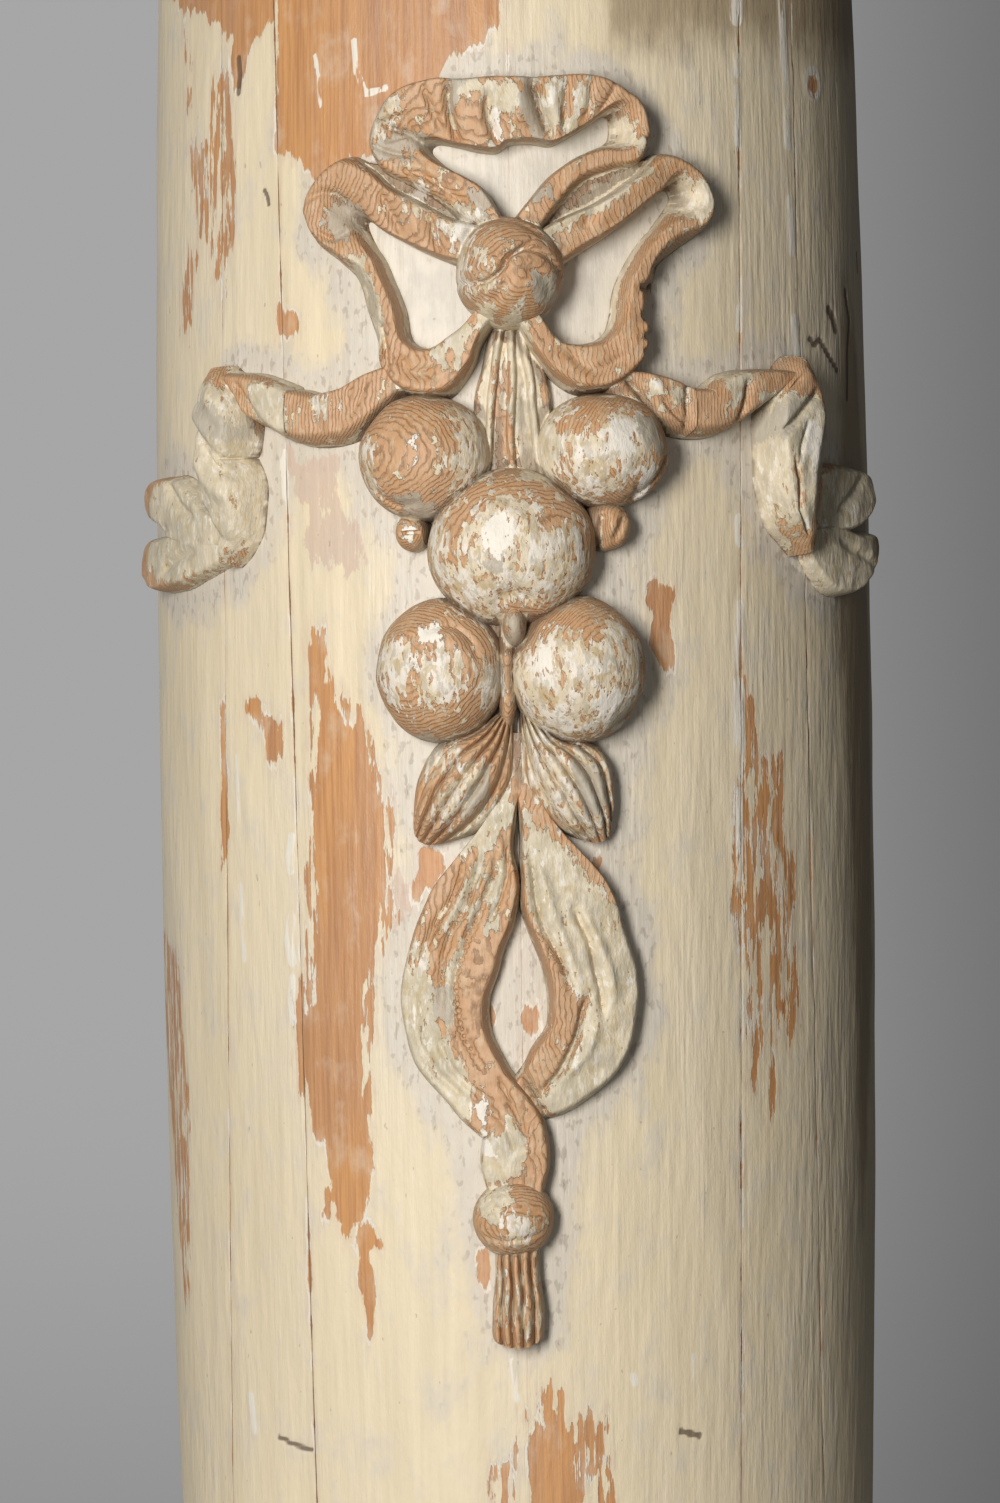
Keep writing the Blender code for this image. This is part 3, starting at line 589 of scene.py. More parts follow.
def along(rows, spacing=None, count=None):
    """Rows of numbers along a smooth curve through the given rows, evenly spaced.

    Between two rows it is a cubic, whose slope at each row is half the step between that row's
    neighbours. The first two numbers of a row are its place, and spacing is measured along them.
    """
    rows = np.array(rows, float)

    def curve(place):
        """The cubic through four neighbouring rows, passing the middle two."""
        i = np.minimum(place.astype(int), len(rows) - 2)
        t = (place - i)[:, None]
        a, b, c = rows[np.maximum(i - 1, 0)], rows[i], rows[i + 1]
        d = rows[np.minimum(i + 2, len(rows) - 1)]
        bend = (2 * a - 5 * b + 4 * c - d) * t ** 2 + (3 * b - a - 3 * c + d) * t ** 3
        return 0.5 * (2 * b + (c - a) * t + bend)

    fine = np.linspace(0, len(rows) - 1, FINE_STEPS * len(rows))
    steps = np.hypot(*np.diff(curve(fine)[:, :2], axis=0).T)
    run = np.concatenate(([0], np.cumsum(steps)))
    count = count or max(FEWEST_ROWS, round(run[-1] / spacing))
    return curve(np.interp(np.linspace(0, run[-1], count), run, fine))


def cut(across, up, cuts):
    """Depth of the gouge cuts: depth * exp(-(d / width)^2), d mm from each cut's line.

    A cut has a quarter of its depth at both ends, and all of it from an eighth of its length on.
    """
    total = np.zeros(across.shape)
    last = CUT_POINTS - 1
    for depth, width, *line in cuts:
        path = along(line, count=CUT_POINTS)
        low, high = path.min(0) - 3 * width, path.max(0) + 3 * width
        near = (across > low[0]) & (across < high[0]) & (up > low[1]) & (up < high[1])
        if not near.any():
            continue
        apart = np.hypot(across[near][:, None] - path[:, 0], up[near][:, None] - path[:, 1])
        closest = apart.argmin(1)
        fade = np.minimum(1, FADE_RATE * np.minimum(closest, last - closest) / last + END_SHARE)
        total[near] += depth * fade * np.exp(-(apart.min(1) / width) ** 2)
    return total


def shoulder(share, power):
    """How far a side has risen: 1 - (1 - share)^power, steep at its foot and level at its top."""
    return 1 - (1 - np.clip(share, 0, 1)) ** power


def band(outer, inner, outer_height, inner_height, outer_run, inner_run, crown):
    """A carved ribbon's skin from its outer edge to its inner edge.

    At share q of the width the top is the edges' heights blended, plus crown * 4 q (1 - q), and
    near each edge it is lowered by that side's shoulder. A short side is rounded, with a power of
    2.3, and a long one falls straight, with a power near 1.
    """
    width = np.linalg.norm(inner - outer, axis=1)
    runs = np.stack((outer_run, inner_run), 1)
    power = ROUND_POWER - POWER_DROP * np.clip((runs - SHORT_SLOPE) / (LONG_SLOPE - SHORT_SLOPE), 0, 1)
    reach = SLOPE_STRETCH * runs / width[:, None]
    share_left = np.minimum(1, WIDEST_SLOPES / reach.sum(1, keepdims=True))
    reach = np.maximum(reach * share_left, LEAST_SLOPE)
    wall = np.linspace(0, 1, WALL_POINTS)
    middle = np.linspace(0, 1, max(TOP_POINTS, round(width.max() / ACROSS_SPACING)))[1:-1]
    rise, fall = reach[:, :1], reach[:, 1:]
    q = np.concatenate((rise * wall, rise + (1 - fall - rise) * middle, 1 - fall * wall[::-1]), 1)
    top = outer_height[:, None] * (1 - q) + inner_height[:, None] * q + crown * 4 * q * (1 - q)
    out = top * shoulder(q / rise, power[:, :1]) * shoulder((1 - q) / fall, power[:, 1:])
    place = outer[:, None] + (inner - outer)[:, None] * q[..., None]
    ring = np.concatenate((place, out[..., None]), 2)
    foot_outer, foot_inner = ring[:, :1].copy(), ring[:, -1:].copy()
    foot_outer[..., 2] = foot_inner[..., 2] = -SUNK_DEPTH
    return tube(np.concatenate((foot_outer, ring, foot_inner), 1))


def bow_loop(rungs, crown=0.6):
    """A loop through rungs: outer place, inner place, both heights, both sides' runs."""
    flat = along([rung[0] + rung[1] + rung[2:] for rung in rungs], ALONG_SPACING)
    return band(flat[:, :2], flat[:, 2:4], *flat[:, 4:].T, crown)


def handled(shell, cuts, seed=3):
    """A shell with its cuts, the carver's slight warp and the waves of the gouge."""
    points, faces = shell
    across, up, out = points.T
    raised = np.clip(out / RAISED_OVER, 0, 1)
    out = out - raised * cut(across, up, cuts)
    out = out + raised * GOUGE_WAVE * unevenness(across, up, GOUGE_LENGTH, seed)
    ripples = unevenness(across, up, RIPPLE_LENGTH, seed + 1)
    out = out + raised * RIPPLE_SHARE * GOUGE_WAVE * ripples
    warped_across = across + CARVER_WARP * unevenness(across, up, WARP_LENGTH, WARP_SEEDS[0])
    warped_up = up + CARVER_WARP * unevenness(across, up, WARP_LENGTH, WARP_SEEDS[1])
    return np.stack((warped_across, warped_up, out), -1), faces


TOP_LOOP = (
    ((-14, 730), (-3, 742), 18, 18, 6, 2), ((-29, 745), (-12, 756), 16, 17, 7, 2),
    ((-46, 757), (-27, 765.5), 15, 16, 6, 2), ((-58, 764.5), (-33.5, 771.5), 16, 14, 5, 3),
    ((-64, 776), (-35, 774), 18, 12, 5, 4), ((-61, 790), (-34, 776), 19, 12, 5, 4),
    ((-50, 802), (-31, 777), 20, 14, 4, 3), ((-33, 806.5), (-24, 775.5), 21, 16, 3, 1.0),
    ((-20, 806), (-15, 773), 21, 18, 3, 0.8), ((-8, 807), (-6, 772.5), 21, 18, 3, 0.8),
    ((2, 807), (0, 775.5), 21, 18, 3, 0.8), ((12, 806.5), (9, 776), 21, 17, 3, 0.8),
    ((22, 807), (18, 775), 21, 18, 3, 0.8), ((33, 807.5), (25, 778), 21, 17, 3, 1.0),
    ((45, 806), (35, 784), 20, 16, 4, 3), ((56, 800), (44, 789), 19, 15, 5, 8),
    ((63, 790), (46.5, 786), 18, 13, 5, 10),
    ((64, 777), (46, 780), 18, 14, 5, 10), ((58, 766), (44, 776.5), 17, 14, 4, 7),
    ((46, 762.5), (38, 773.5), 16, 15, 4, 3), ((33, 757), (28, 768.5), 16, 16, 4, 2),
    ((22, 745), (14, 757.5), 17, 17, 4, 2), ((13, 731), (2.5, 743.5), 18, 18, 4, 2),
)
LEFT_LOOP = (
    ((-9, 738), (-12, 717), 20, 18, 3, 2), ((-24, 744), (-27, 722), 19, 17, 4, 2),
    ((-38, 751), (-40, 728), 18, 16, 4, 2), ((-51, 758.5), (-51, 734), 18, 15, 4, 2),
    ((-62, 768), (-59, 739), 18, 14, 4, 3), ((-74, 774), (-63.5, 742.5), 18, 12, 5, 5),
    ((-87, 769), (-65.5, 743.5), 17, 11, 6, 6), ((-95.5, 759), (-66.5, 743), 17, 11, 6, 6),
    ((-97, 748), (-66.5, 741), 17, 12, 6, 6), ((-92, 735), (-65, 737), 16, 14, 6, 4),
    ((-82, 726.5), (-62, 731), 16, 16, 7, 2), ((-72.5, 718), (-57.5, 724), 15, 17, 8, 2),
    ((-67.5, 704), (-52, 712), 15, 18, 9, 2), ((-63.5, 690), (-48, 700), 15, 18, 8, 2),
    ((-61, 677), (-46, 690), 16, 18, 6, 2), ((-55, 667.5), (-43, 686), 18, 17, 5, 2),
    ((-46, 661.5), (-39, 684.5), 19, 17, 4, 3), ((-35, 660), (-34, 685.5), 19, 17, 4, 3),
    ((-25, 663), (-28, 689), 19, 18, 4, 3), ((-18, 673), (-21, 694), 19, 19, 4, 3),
    ((-12.5, 686), (-14, 702), 20, 20, 4, 2), ((-3, 697), (-6, 711), 20, 20, 4, 2),
)
RIGHT_LOOP = (
    ((9, 735), (13, 714), 20, 18, 3, 2), ((24, 743), (28, 723.5), 20, 17, 3, 3),
    ((40, 752), (43, 733), 20, 17, 3, 3), ((55, 762), (58, 745), 20, 16, 4, 3),
    ((67, 772.5), (68, 753), 19, 15, 4, 4), ((80, 771.5), (72.5, 756), 18, 14, 5, 8),
    ((90, 763.5), (75, 755.5), 17, 13, 5, 10), ((95.5, 751), (75.5, 752), 17, 13, 5, 12),
    ((92, 739), (73, 747.5), 17, 14, 5, 8), ((80, 730), (68, 741), 16, 16, 7, 3),
    ((71, 722), (59, 731), 16, 17, 7, 3), ((66, 709), (50.5, 718), 15, 18, 8, 3),
    ((62, 699), (46.5, 706), 16, 18, 6, 4), ((62.5, 689), (44.5, 696), 17, 18, 5, 4),
    ((60, 678), (43, 690.5), 18, 18, 4, 3), ((52, 668.5), (39, 687), 18, 17, 4, 3),
    ((41, 662.5), (34, 685.5), 19, 17, 4, 3), ((28, 662), (28, 685), 19, 17, 4, 3),
    ((17, 668), (21, 687), 19, 18, 4, 3), ((9.5, 678), (15, 695), 20, 19, 4, 3),
    ((0, 694), (7, 708), 20, 20, 4, 2),
)
# depth, half width, and the line of each cut. A negative depth is a ridge.
BOW_CUTS = (
    (4.8, 1.7, (-24, 804), (-25, 795), (-24, 786), (-21, 774)),
    (2.4, 1.5, (-36, 801), (-32, 790), (-28, 781)),
    (-1.8, 3.0, (-13, 800), (-12, 792), (-11, 776)), (3.6, 1.9, (-9, 798), (-9, 790), (-7, 782), (-4, 773)),
    (-1.8, 3.0, (4, 802), (5, 791), (5, 781)), (6.0, 2.5, (11, 805), (11, 799), (13, 789), (17, 777)),
    (-1.5, 3.0, (18, 803), (18, 792), (21, 781)), (2.6, 1.5, (25, 802), (23, 789), (23, 779)),
    (1.6, 1.4, (35, 803), (34, 793), (31, 785)), (1.4, 1.3, (46, 803), (43, 795), (38, 788)),
    (3.5, 7.0, (-50, 790), (-46, 778)), (3.4, 2.0, (-40, 778), (-35, 776), (-33, 771)),
    (3.4, 4.5, (-83, 757), (-72, 748), (-61, 737)), (3.0, 2.0, (-56, 755), (-50, 743), (-46, 735)),
    (-1.6, 3.0, (-47, 753), (-42, 744), (-37, 731)), (3.2, 2.0, (-35, 746), (-32, 736), (-29, 724)),
    (-1.4, 2.5, (-26, 742), (-23, 732), (-20, 722)), (2.4, 1.6, (-17, 740), (-15, 730), (-14, 720)),
    (3.5, 1.6, (-56, 697), (-54, 684), (-53, 671)), (2.0, 2.5, (36, 747), (30, 735)),
    (2.6, 1.8, (-49, 764), (-38, 762), (-24, 752), (-15, 744)),
    (2.5, 3.0, (-48, 680), (-42, 672), (-32, 672)), (2.0, 2.5, (22, 680), (34, 672), (47, 678)),
    (2.4, 1.8, (36, 757), (44, 761), (56, 764)), (2.2, 1.4, (52, 783), (58, 780), (62, 776)),
    (-1.5, 2.0, (62, 775), (63, 790), (54, 800)), (-1.2, 2.0, (92, 744), (93, 757), (85, 767)),
    (5.0, 2.2, (68, 701), (60, 698), (55, 696)), (5.0, 2.0, (67, 713), (60, 711), (55, 709)),
    (4.5, 1.8, (66, 690), (60, 688), (56, 687)), (3.5, 1.8, (74, 724), (66, 720), (62, 718)),
    (3.0, 1.8, (62, 681), (56, 680)), (1.8, 1.6, (49, 713), (46, 700), (45, 692)),
    (-1.2, 1.6, (-62, 790), (-52, 800), (-38, 804)), (2.4, 1.3, (-56, 786), (-45, 782), (-38, 777)),
    (1.8, 1.2, (-60, 777), (-50, 772), (-40, 771)), (2.0, 1.6, (-93, 752), (-82, 757), (-72, 752)),
    (2.0, 1.4, (-86, 739), (-78, 735), (-70, 739)), (2.8, 1.5, (84, 757), (74, 752), (62, 745)),
    (3.0, 1.4, (-68, 716), (-66, 708)), (3.0, 1.4, (-64, 701), (-62, 694)),
    (2.4, 1.4, (-90, 738), (-80, 727)),
)
# Low webs of wood left between the limbs: place, half width
WEBS = ((((-10, 732), 2), ((-22, 741), 5), ((-38, 752), 6.5), ((-54, 763), 5), ((-66, 770), 1.5)),
        (((9, 731), 2), ((20, 740), 6), ((36, 752), 8.5), ((52, 762), 6), ((64, 769), 1.5)))
WEB_HEIGHT = 8.0


loops = [handled(bow_loop(rungs), BOW_CUTS) for rungs in (TOP_LOOP, LEFT_LOOP, RIGHT_LOOP)]
bow, bow_drawn = new_piece("bow_loops", loops)


# The knot and the stalks
# The knot stands highest of all the carving, as one ball with the laps of the ribbon cut into it.
# Three thin stalks run down from it to the fruit, on a low seat that fills the gap between them.
AROUND = 96
DOWN = 34
BEND_SHARE = 0.85
EDGE_INSET = 0.35
STRAIGHT = 1e-6


def dome(across, up, half_width, half_height, out, top):
    """The upper half of an ellipsoid on an upright rim.

    The place is the centre plus the half sizes times sin(t), turned round, and the height is
    out + (top - out) cos(t), for t from 0 at the top to a right angle at the rim.
    """
    t = np.append(np.linspace(0.02, math.pi / 2, DOWN), math.pi / 2)[:, None]
    turned = np.linspace(0, 2 * math.pi, AROUND, endpoint=False)
    x = across + half_width * np.sin(t) * np.cos(turned)
    y = up + half_height * np.sin(t) * np.sin(turned)
    z = out + (top - out) * np.cos(t) + 0 * turned
    z[-1] = -SUNK_DEPTH
    return tube(np.stack((x, y, z), -1))


def ribbon(stations, crown, spacing=ALONG_SPACING):
    """A ribbon along a middle line: place, half width, both edges' heights, both sides' runs.

    Each edge is half a width aside from the line, or less on the inside of a tight bend.
    """
    rows = along(stations, spacing)
    heading = np.gradient(rows[:, :2], axis=0)
    step = np.linalg.norm(heading, axis=1)
    heading = heading / step[:, None]
    bend = np.gradient(np.unwrap(np.arctan2(heading[:, 1], heading[:, 0]))) / step
    left = np.minimum(rows[:, 2], BEND_SHARE / np.maximum(bend, STRAIGHT)) - EDGE_INSET * rows[:, 5]
    right = np.minimum(rows[:, 2], BEND_SHARE / np.maximum(-bend, STRAIGHT)) - EDGE_INSET * rows[:, 6]
    aside = np.stack((-heading[:, 1], heading[:, 0]), 1)
    return band(rows[:, :2] + aside * left[:, None], rows[:, :2] - aside * right[:, None],
                rows[:, 3], rows[:, 4], rows[:, 5], rows[:, 6], crown)


KNOT_CUTS = (
    (4.6, 1.1, (-27, 713), (-19, 711), (-10, 710), (-4, 714), (-1, 719), (4, 724), (8, 729)),
    (2.6, 1.2, (3, 724), (12, 723), (18, 717), (21, 710)), (1.6, 2.2, (-1, 719), (-3, 706), (-9, 700)),
    (-1.6, 3.0, (-20, 717), (-11, 717), (-5, 721)), (2.0, 3.0, (6, 716), (12, 711), (15, 703)),
    (1.6, 1.2, (-12, 740), (2, 738), (14, 730)),
)
STALKS = (((-4.5, 694), (-8, 672), (-10.5, 645), (-12, 625)),
          ((-0.5, 694), (0, 672), (-1, 645), (-1, 620)),
          ((3.5, 694), (7, 672), (9.5, 645), (11.5, 625)))
STALK_SEAT = (((0, 698), 9), ((0, 675), 15), ((0, 650), 19), ((0, 620), 16))
knot_shells = [handled(dome(-0.6, 716.5, 23.3, 25.8, 9, 39), KNOT_CUTS)]
knot_shells.append(handled(ribbon([place + (half, 6.5, 6.5, 2, 2) for place, half in STALK_SEAT], 0.5), ()))
for line in STALKS:
    knot_shells.append(handled(ribbon([place + (4.2, 10, 10, 3, 3) for place in line], 0.6), ()))
for web in WEBS:
    stations = [place + (half, WEB_HEIGHT, WEB_HEIGHT, 1, 1) for place, half in web]
    knot_shells.append(handled(ribbon(stations, -1.0), ()))
knot, knot_drawn = new_piece("knot_and_stalks", knot_shells)


# The fruit
# Five round fruits hang in a cluster, with two cut stubs of calyx beside them and a stem below the
# middle one. They are rounded over from the same boards, so the growth rings show as ovals.
FRUITS = (
    (-39, 634, 29, 29, 6, 34), (39, 636, 29.5, 26.5, 6, 33), (-1.5, 592, 37, 36.5, 5, 38),
    (-33, 537, 28.5, 33, 6, 34), (26.5, 536.5, 30, 33.5, 6, 35),
    (-45.5, 600, 7.5, 9, 4, 17), (41, 602, 11.5, 11.5, 4, 19), (-1, 557, 5, 10, 14, 30),
    (-4, 538, 5, 30, 3, 19), (-1, 606, 26, 26, 3, 9), (-1, 560, 20, 22, 3, 12),
)
FRUIT_CUTS = (
    (4.0, 1.5, (46, 613), (53, 617), (60, 624), (63, 633)), (3.0, 1.5, (50, 620), (52, 610)),
    (4.0, 1.5, (42, 512), (49, 518), (54, 526)), (2.0, 1.5, (38, 508), (43, 515)),
    (-1.2, 3.0, (-50, 548), (-36, 555), (-22, 549), (-16, 535)),
    (4.0, 3.0, (-44.6, 600.5), (-44.5, 598.5)), (4.0, 2.2, (38, 607), (36, 600), (37, 592)),
    (2.0, 2.0, (47, 606), (41, 594)), (2.5, 2.5, (-8, 566), (-1, 571), (7, 566)),
    (1.2, 2.5, (-60, 622), (-52, 613), (-40, 611)), (2.2, 1.2, (-58, 620), (-48, 612), (-38, 613)),
    (2.0, 1.2, (-38, 553), (-32, 556), (-24, 556), (-18, 550), (-15, 540)),
    (1.4, 1.6, (16, 640), (18, 628), (26, 616)),
    (-1.4, 3.0, (-14, 612), (-4, 608), (6, 600)), (1.5, 1.3, (-1, 580), (0, 572), (3, 568)),
)
fruit, fruit_drawn = new_piece("fruit", [handled(dome(*size), FRUIT_CUTS, 11) for size in FRUITS])


# The two leaves
# Below the fruit two leaves spread from one point. Their ribs were cut with a V gouge and a
# half-round gouge, and sweep down from the point to the leaf's round end.
RIB_SPACING = 0.8
FEWEST_RIB_ROWS = 24
POINTS_PER_RIB = 12
GROOVE_POWER = 1.4
GROOVE_FULL_AT = 16
END_ROWS = 8


def ribbed(left_edge, right_edge, heights, ribs, depth, power=0.5, bulge=0.0, plain=(0, 0)):
    """A leaf or strand between two edges, ridged along its length.

    At share q across, the height is top * sin(pi q)^power, less depth * (1 - |sin(pi ribs q)|)^1.4.
    The grooves fade out over the plain shares of its left and right sides, and its end is bowed
    outward by bulge * sin(pi q) * t^4, t along it.
    """
    count = max(FEWEST_RIB_ROWS, round(np.hypot(*(np.array(left_edge[0]) - left_edge[-1])) / RIB_SPACING))
    left, right = along(left_edge, count=count), along(right_edge, count=count)
    t = np.linspace(0, 1, count)[:, None]
    top = np.interp(t * (len(heights) - 1), range(len(heights)), heights)
    q = np.linspace(0, 1, POINTS_PER_RIB * ribs + 1)
    groove = (1 - np.abs(np.sin(math.pi * ribs * q))) ** GROOVE_POWER
    inset = np.minimum((q + 1e-6) / (plain[0] + 1e-6), (1 - q + 1e-6) / (plain[1] + 1e-6))
    groove = groove * np.clip(inset, 0, 1) ** 2
    rounded = top * np.sin(math.pi * np.clip(q, 0.0, 1)) ** power
    out = rounded - depth * groove * np.clip(top / GROOVE_FULL_AT, 0, 1)
    out = np.maximum(out, 0)
    place = left[:, None] + (right - left)[:, None] * q[:, None]
    heading = left[-1] + right[-1] - left[-END_ROWS] - right[-END_ROWS]
    bow_out = bulge * np.sin(math.pi * q) * t ** 4
    place = place + bow_out[..., None] * heading / np.hypot(*heading)
    ring = np.concatenate((place, out[..., None]), 2)
    feet = ring[:, :1].copy(), ring[:, -1:].copy()
    feet[0][..., 2] = feet[1][..., 2] = -SUNK_DEPTH
    return tube(np.concatenate((feet[0], ring, feet[1]), 1))


LEFT_LEAF = (((-4, 521), (-19, 511), (-33, 506), (-41.5, 497), (-46.5, 484), (-47.5, 469)),
             ((-1, 520), (-1.2, 502), (-2.0, 486), (-9.5, 471), (-19, 463), (-30, 459.5)))
RIGHT_LEAF = (((1, 520), (1, 502), (1.5, 487), (5, 478), (13, 467), (24, 460.5)),
              ((4, 521), (18, 508), (32, 504.5), (40.5, 495), (43.5, 481), (42, 467)))
LEAF_HEIGHTS = (8, 13, 17, 20, 21.5, 21.5, 20, 17, 9)
leaf_shells = [handled(ribbed(*edges, LEAF_HEIGHTS, 6, 4.2, 0.42, 6.5, plain), (), 17)
               for edges, plain in ((LEFT_LEAF, (0.3, 0)), (RIGHT_LEAF, (0, 0.12)))]
leaves, leaves_drawn = new_piece("leaves", leaf_shells)


# The hanging loop
# A flat ribbon drops from the leaves, parts round an almond-shaped opening, crosses over itself
# and ends in a tail above the tassel. Long gouge cuts give its folds.
HANGING_LEFT = (
    (-1.0, 508, 3, 6, 6, 1, 1), (-1.6, 492, 3.2, 8, 8, 1, 1), (-3.6, 481, 5, 10, 10, 1, 1),
    (-6.8, 471, 7.2, 12, 12, 2, 1), (-11.2, 458, 10.6, 12, 12, 2, 1),
    (-18, 436, 20, 14, 12, 3, 1.5), (-29.5, 411, 22.5, 14, 12, 3, 4), (-35, 388, 22, 14, 11, 3, 4),
    (-32, 366, 20.5, 14, 11, 3, 4), (-20.5, 348, 18, 14, 12, 3, 4), (-6, 331, 16.5, 14, 13, 3, 3),
    (-4, 314, 17, 13, 12, 3, 3), (-4.5, 293, 13, 12, 12, 3, 3),
)
HANGING_RIGHT = (
    (0.6, 508, 3, 6, 6, 1, 1), (1.2, 492, 3.2, 8, 8, 1, 1), (3.2, 481, 5, 10, 10, 1, 1),
    (6.2, 471, 7.2, 12, 12, 1, 2), (10.4, 458, 11.4, 12, 12, 1, 2),
    (18, 436, 20.5, 12, 14, 1.5, 3), (28.5, 411, 22.5, 12, 14, 4, 3), (33, 388, 22.5, 11, 14, 4, 3),
    (29, 367, 21.5, 11, 13, 4, 3), (15, 351, 18.5, 10, 11, 4, 3), (1, 341, 12, 9, 9, 4, 3),
)
HANGING_CUTS = (
    (2.6, 1.7, (-23, 451), (-28, 436), (-38, 420), (-43, 404)),
    (2.4, 1.6, (-16, 451), (-23, 431), (-31, 415), (-34, 400), (-35, 383)),
    (2.6, 1.6, (-9, 456), (-12, 441), (-21, 420), (-27, 403), (-28, 387), (-25, 371), (-16, 355)),
    (1.8, 1.4, (-4, 460), (-7, 438), (-14, 422)),
    (-1.2, 2.0, (-12, 452), (-18, 432), (-27, 414)), (-1.2, 2.0, (-20, 453), (-27, 432), (-36, 412)),
    (2.0, 2.0, (-46, 395), (-46, 372), (-36, 354), (-22, 341)),
    (1.6, 1.6, (-38, 372), (-28, 354), (-14, 342)),
    (4.2, 1.4, (5, 453), (6, 436), (10, 420), (16, 407), (21, 391)),
    (-1.8, 2.0, (8, 449), (13, 430), (20, 409), (26, 393)),
    (4.4, 1.4, (23, 429), (29, 413), (32, 400), (35, 379)),
    (-1.8, 2.2, (27, 427), (34, 411), (38, 398), (39, 384)),
    (4.4, 1.4, (28, 389), (23, 370), (17, 356), (8, 346)), (-1.6, 2.0, (32, 378), (28, 364), (18, 352)),
    (3.0, 1.4, (-2, 358), (4, 348), (9, 338), (12, 326)), (1.6, 1.4, (-10, 352), (-4, 338), (2, 322)),
    (1.4, 1.4, (-16, 340), (-8, 330), (-4, 318)),
)
hanging = [handled(ribbon(line, 0.4), HANGING_CUTS, 23) for line in (HANGING_LEFT, HANGING_RIGHT)]
hanging_loop, hanging_drawn = new_piece("hanging_loop", hanging)


# The tassel
# A round head with a short skirt of strands closes the festoon. The strands are six flutes cut
# with one gouge, and their ends are rounded under.
SKIRT = (((-13.5, 280), (-14.5, 262), (-15.6, 246), (-16, 236), (-15.2, 233)),
         ((6, 280), (7, 262), (8, 246), (8.2, 236), (7.6, 233)))
TASSEL_CUTS = ((1.2, 1.2, (-20, 291), (-8, 294), (8, 291)), (1.0, 1.2, (-20, 282), (-6, 280), (9, 283)),
               (1.5, 2.0, (-12, 296), (-10, 288)))
tassel_shells = [handled(dome(-5, 288, 18, 18, 5, 24), TASSEL_CUTS, 29),
                 handled(ribbed(*SKIRT, (15, 15, 16, 16.5, 17, 17, 17, 15), 5, 4.4, 0.3, 3.5), (), 31)]
tassel, tassel_drawn = new_piece("tassel", tassel_shells)


# The side ribbons
# From the bow's foot a ribbon runs out to each side in a shallow swag. Its near stretch belongs to
# the festoon's board, and the rest is a carved block of its own, butted against it.
LEFT_BLOCK_JOINT = 102.0
RIGHT_BLOCK_JOINT = 80.0
BLOCK_GAP = 0.35
PAST_JOINT = 9.0
LEFT_SIDE_RIBBON = (
    (-46, 672, 9, 12, 12, 3, 3), (-60, 665, 12, 14, 14, 4, 3), (-74, 656, 14, 15, 15, 5, 3),
    (-91, 653.5, 14.5, 15, 15, 5, 3), (-102, 656, 14, 15, 15, 5, 3),
    (-113, 661, 13.5, 15, 15, 5, 3), (-128, 667, 12.5, 14, 16, 4, 3), (-142, 671, 10.5, 14, 15, 3, 3),
)
RIGHT_SIDE_RIBBON = (
    (44, 668, 9, 12, 12, 3, 3), (55, 662, 13, 14, 14, 3, 4), (67, 658, 14.5, 15, 15, 3, 5),
    (80, 654, 13.5, 15, 15, 3, 5), (92, 654.5, 13.5, 15, 15, 3, 5), (106, 662, 13.5, 15, 15, 3, 5),
    (122, 668, 10, 16, 14, 3, 4), (136, 670, 8, 15, 14, 3, 3),
)
LEFT_FOLD = (
    ((-150, 681, 8, 9, 9, 5, 5), (-147, 673, 14, 15, 15, 6, 6), (-143, 660, 18.5, 18, 17, 6, 5),
     (-143, 648, 18, 19, 17, 6, 5), (-144, 637, 16, 19, 17, 6, 5), (-140, 622, 17.5, 19, 16, 6, 6),
     (-138, 608, 14.5, 16, 14, 6, 6), (-141, 598, 10, 13, 12, 5, 6), (-146, 591, 6, 9, 9, 4, 5)),
    ((-148, 603, 8, 8, 8, 3, 3), (-168, 608, 13, 9, 9, 3, 3), (-188, 617, 18, 10, 9, 4, 4),
     (-210, 622.5, 14.5, 9, 10, 4, 3), (-226, 623, 11, 8, 10, 3, 3), (-234, 622, 6, 7, 9, 3, 3)),
    ((-146, 597, 7, 7, 7, 3, 3), (-168, 595, 12, 9, 9, 3, 3), (-190, 594, 16, 10, 9, 4, 4),
     (-212, 594, 15.5, 11, 9, 3, 4), (-230, 596, 12.5, 11, 8, 3, 3), (-240, 598, 7, 10, 7, 3, 3)),
)
RIGHT_FOLD = (
    ((147, 681, 7, 9, 9, 5, 4), (143, 672, 13, 15, 16, 6, 4), (139, 657, 19, 17, 20, 6, 3),
     (138, 640, 18.5, 17, 21, 6, 3), (137, 624, 17, 16, 21, 6, 3), (138, 610, 14, 15, 20, 6, 3),
     (143, 600, 9.5, 13, 17, 5, 3), (148, 592, 6, 9, 9, 4, 3)),
    ((154, 610, 10, 8, 8, 3, 3), (170, 617, 18, 9, 9, 3, 3), (188, 619, 17.5, 9, 13, 4, 4),
     (206, 624, 12, 9, 14, 4, 4), (216, 624, 6, 7, 10, 3, 4)),
    ((152, 598, 8, 7, 7, 3, 3), (168, 591, 17, 9, 9, 3, 3), (184, 589, 19, 9, 11, 4, 3),
     (202, 592, 13.5, 11, 13, 4, 4), (216, 597, 8.5, 10, 11, 3, 4), (223, 598, 4, 9, 8, 3, 3)),
)
NEAR_CUTS = (
    (2.0, 3.0, (-92, 668), (-86, 655), (-86, 642)), (2.0, 3.0, (-70, 668), (-74, 655), (-78, 646)),
    (1.6, 1.4, (-62, 672), (-66, 662), (-72, 652)), (4.0, 1.8, (48, 670), (55, 660), (61, 651)),
    (3.0, 1.6, (64, 660), (71, 652), (78, 647)), (2.6, 1.5, (77, 668), (76, 656), (77, 643)),
    (-1.4, 2.5, (58, 672), (66, 660), (72, 656)),
)
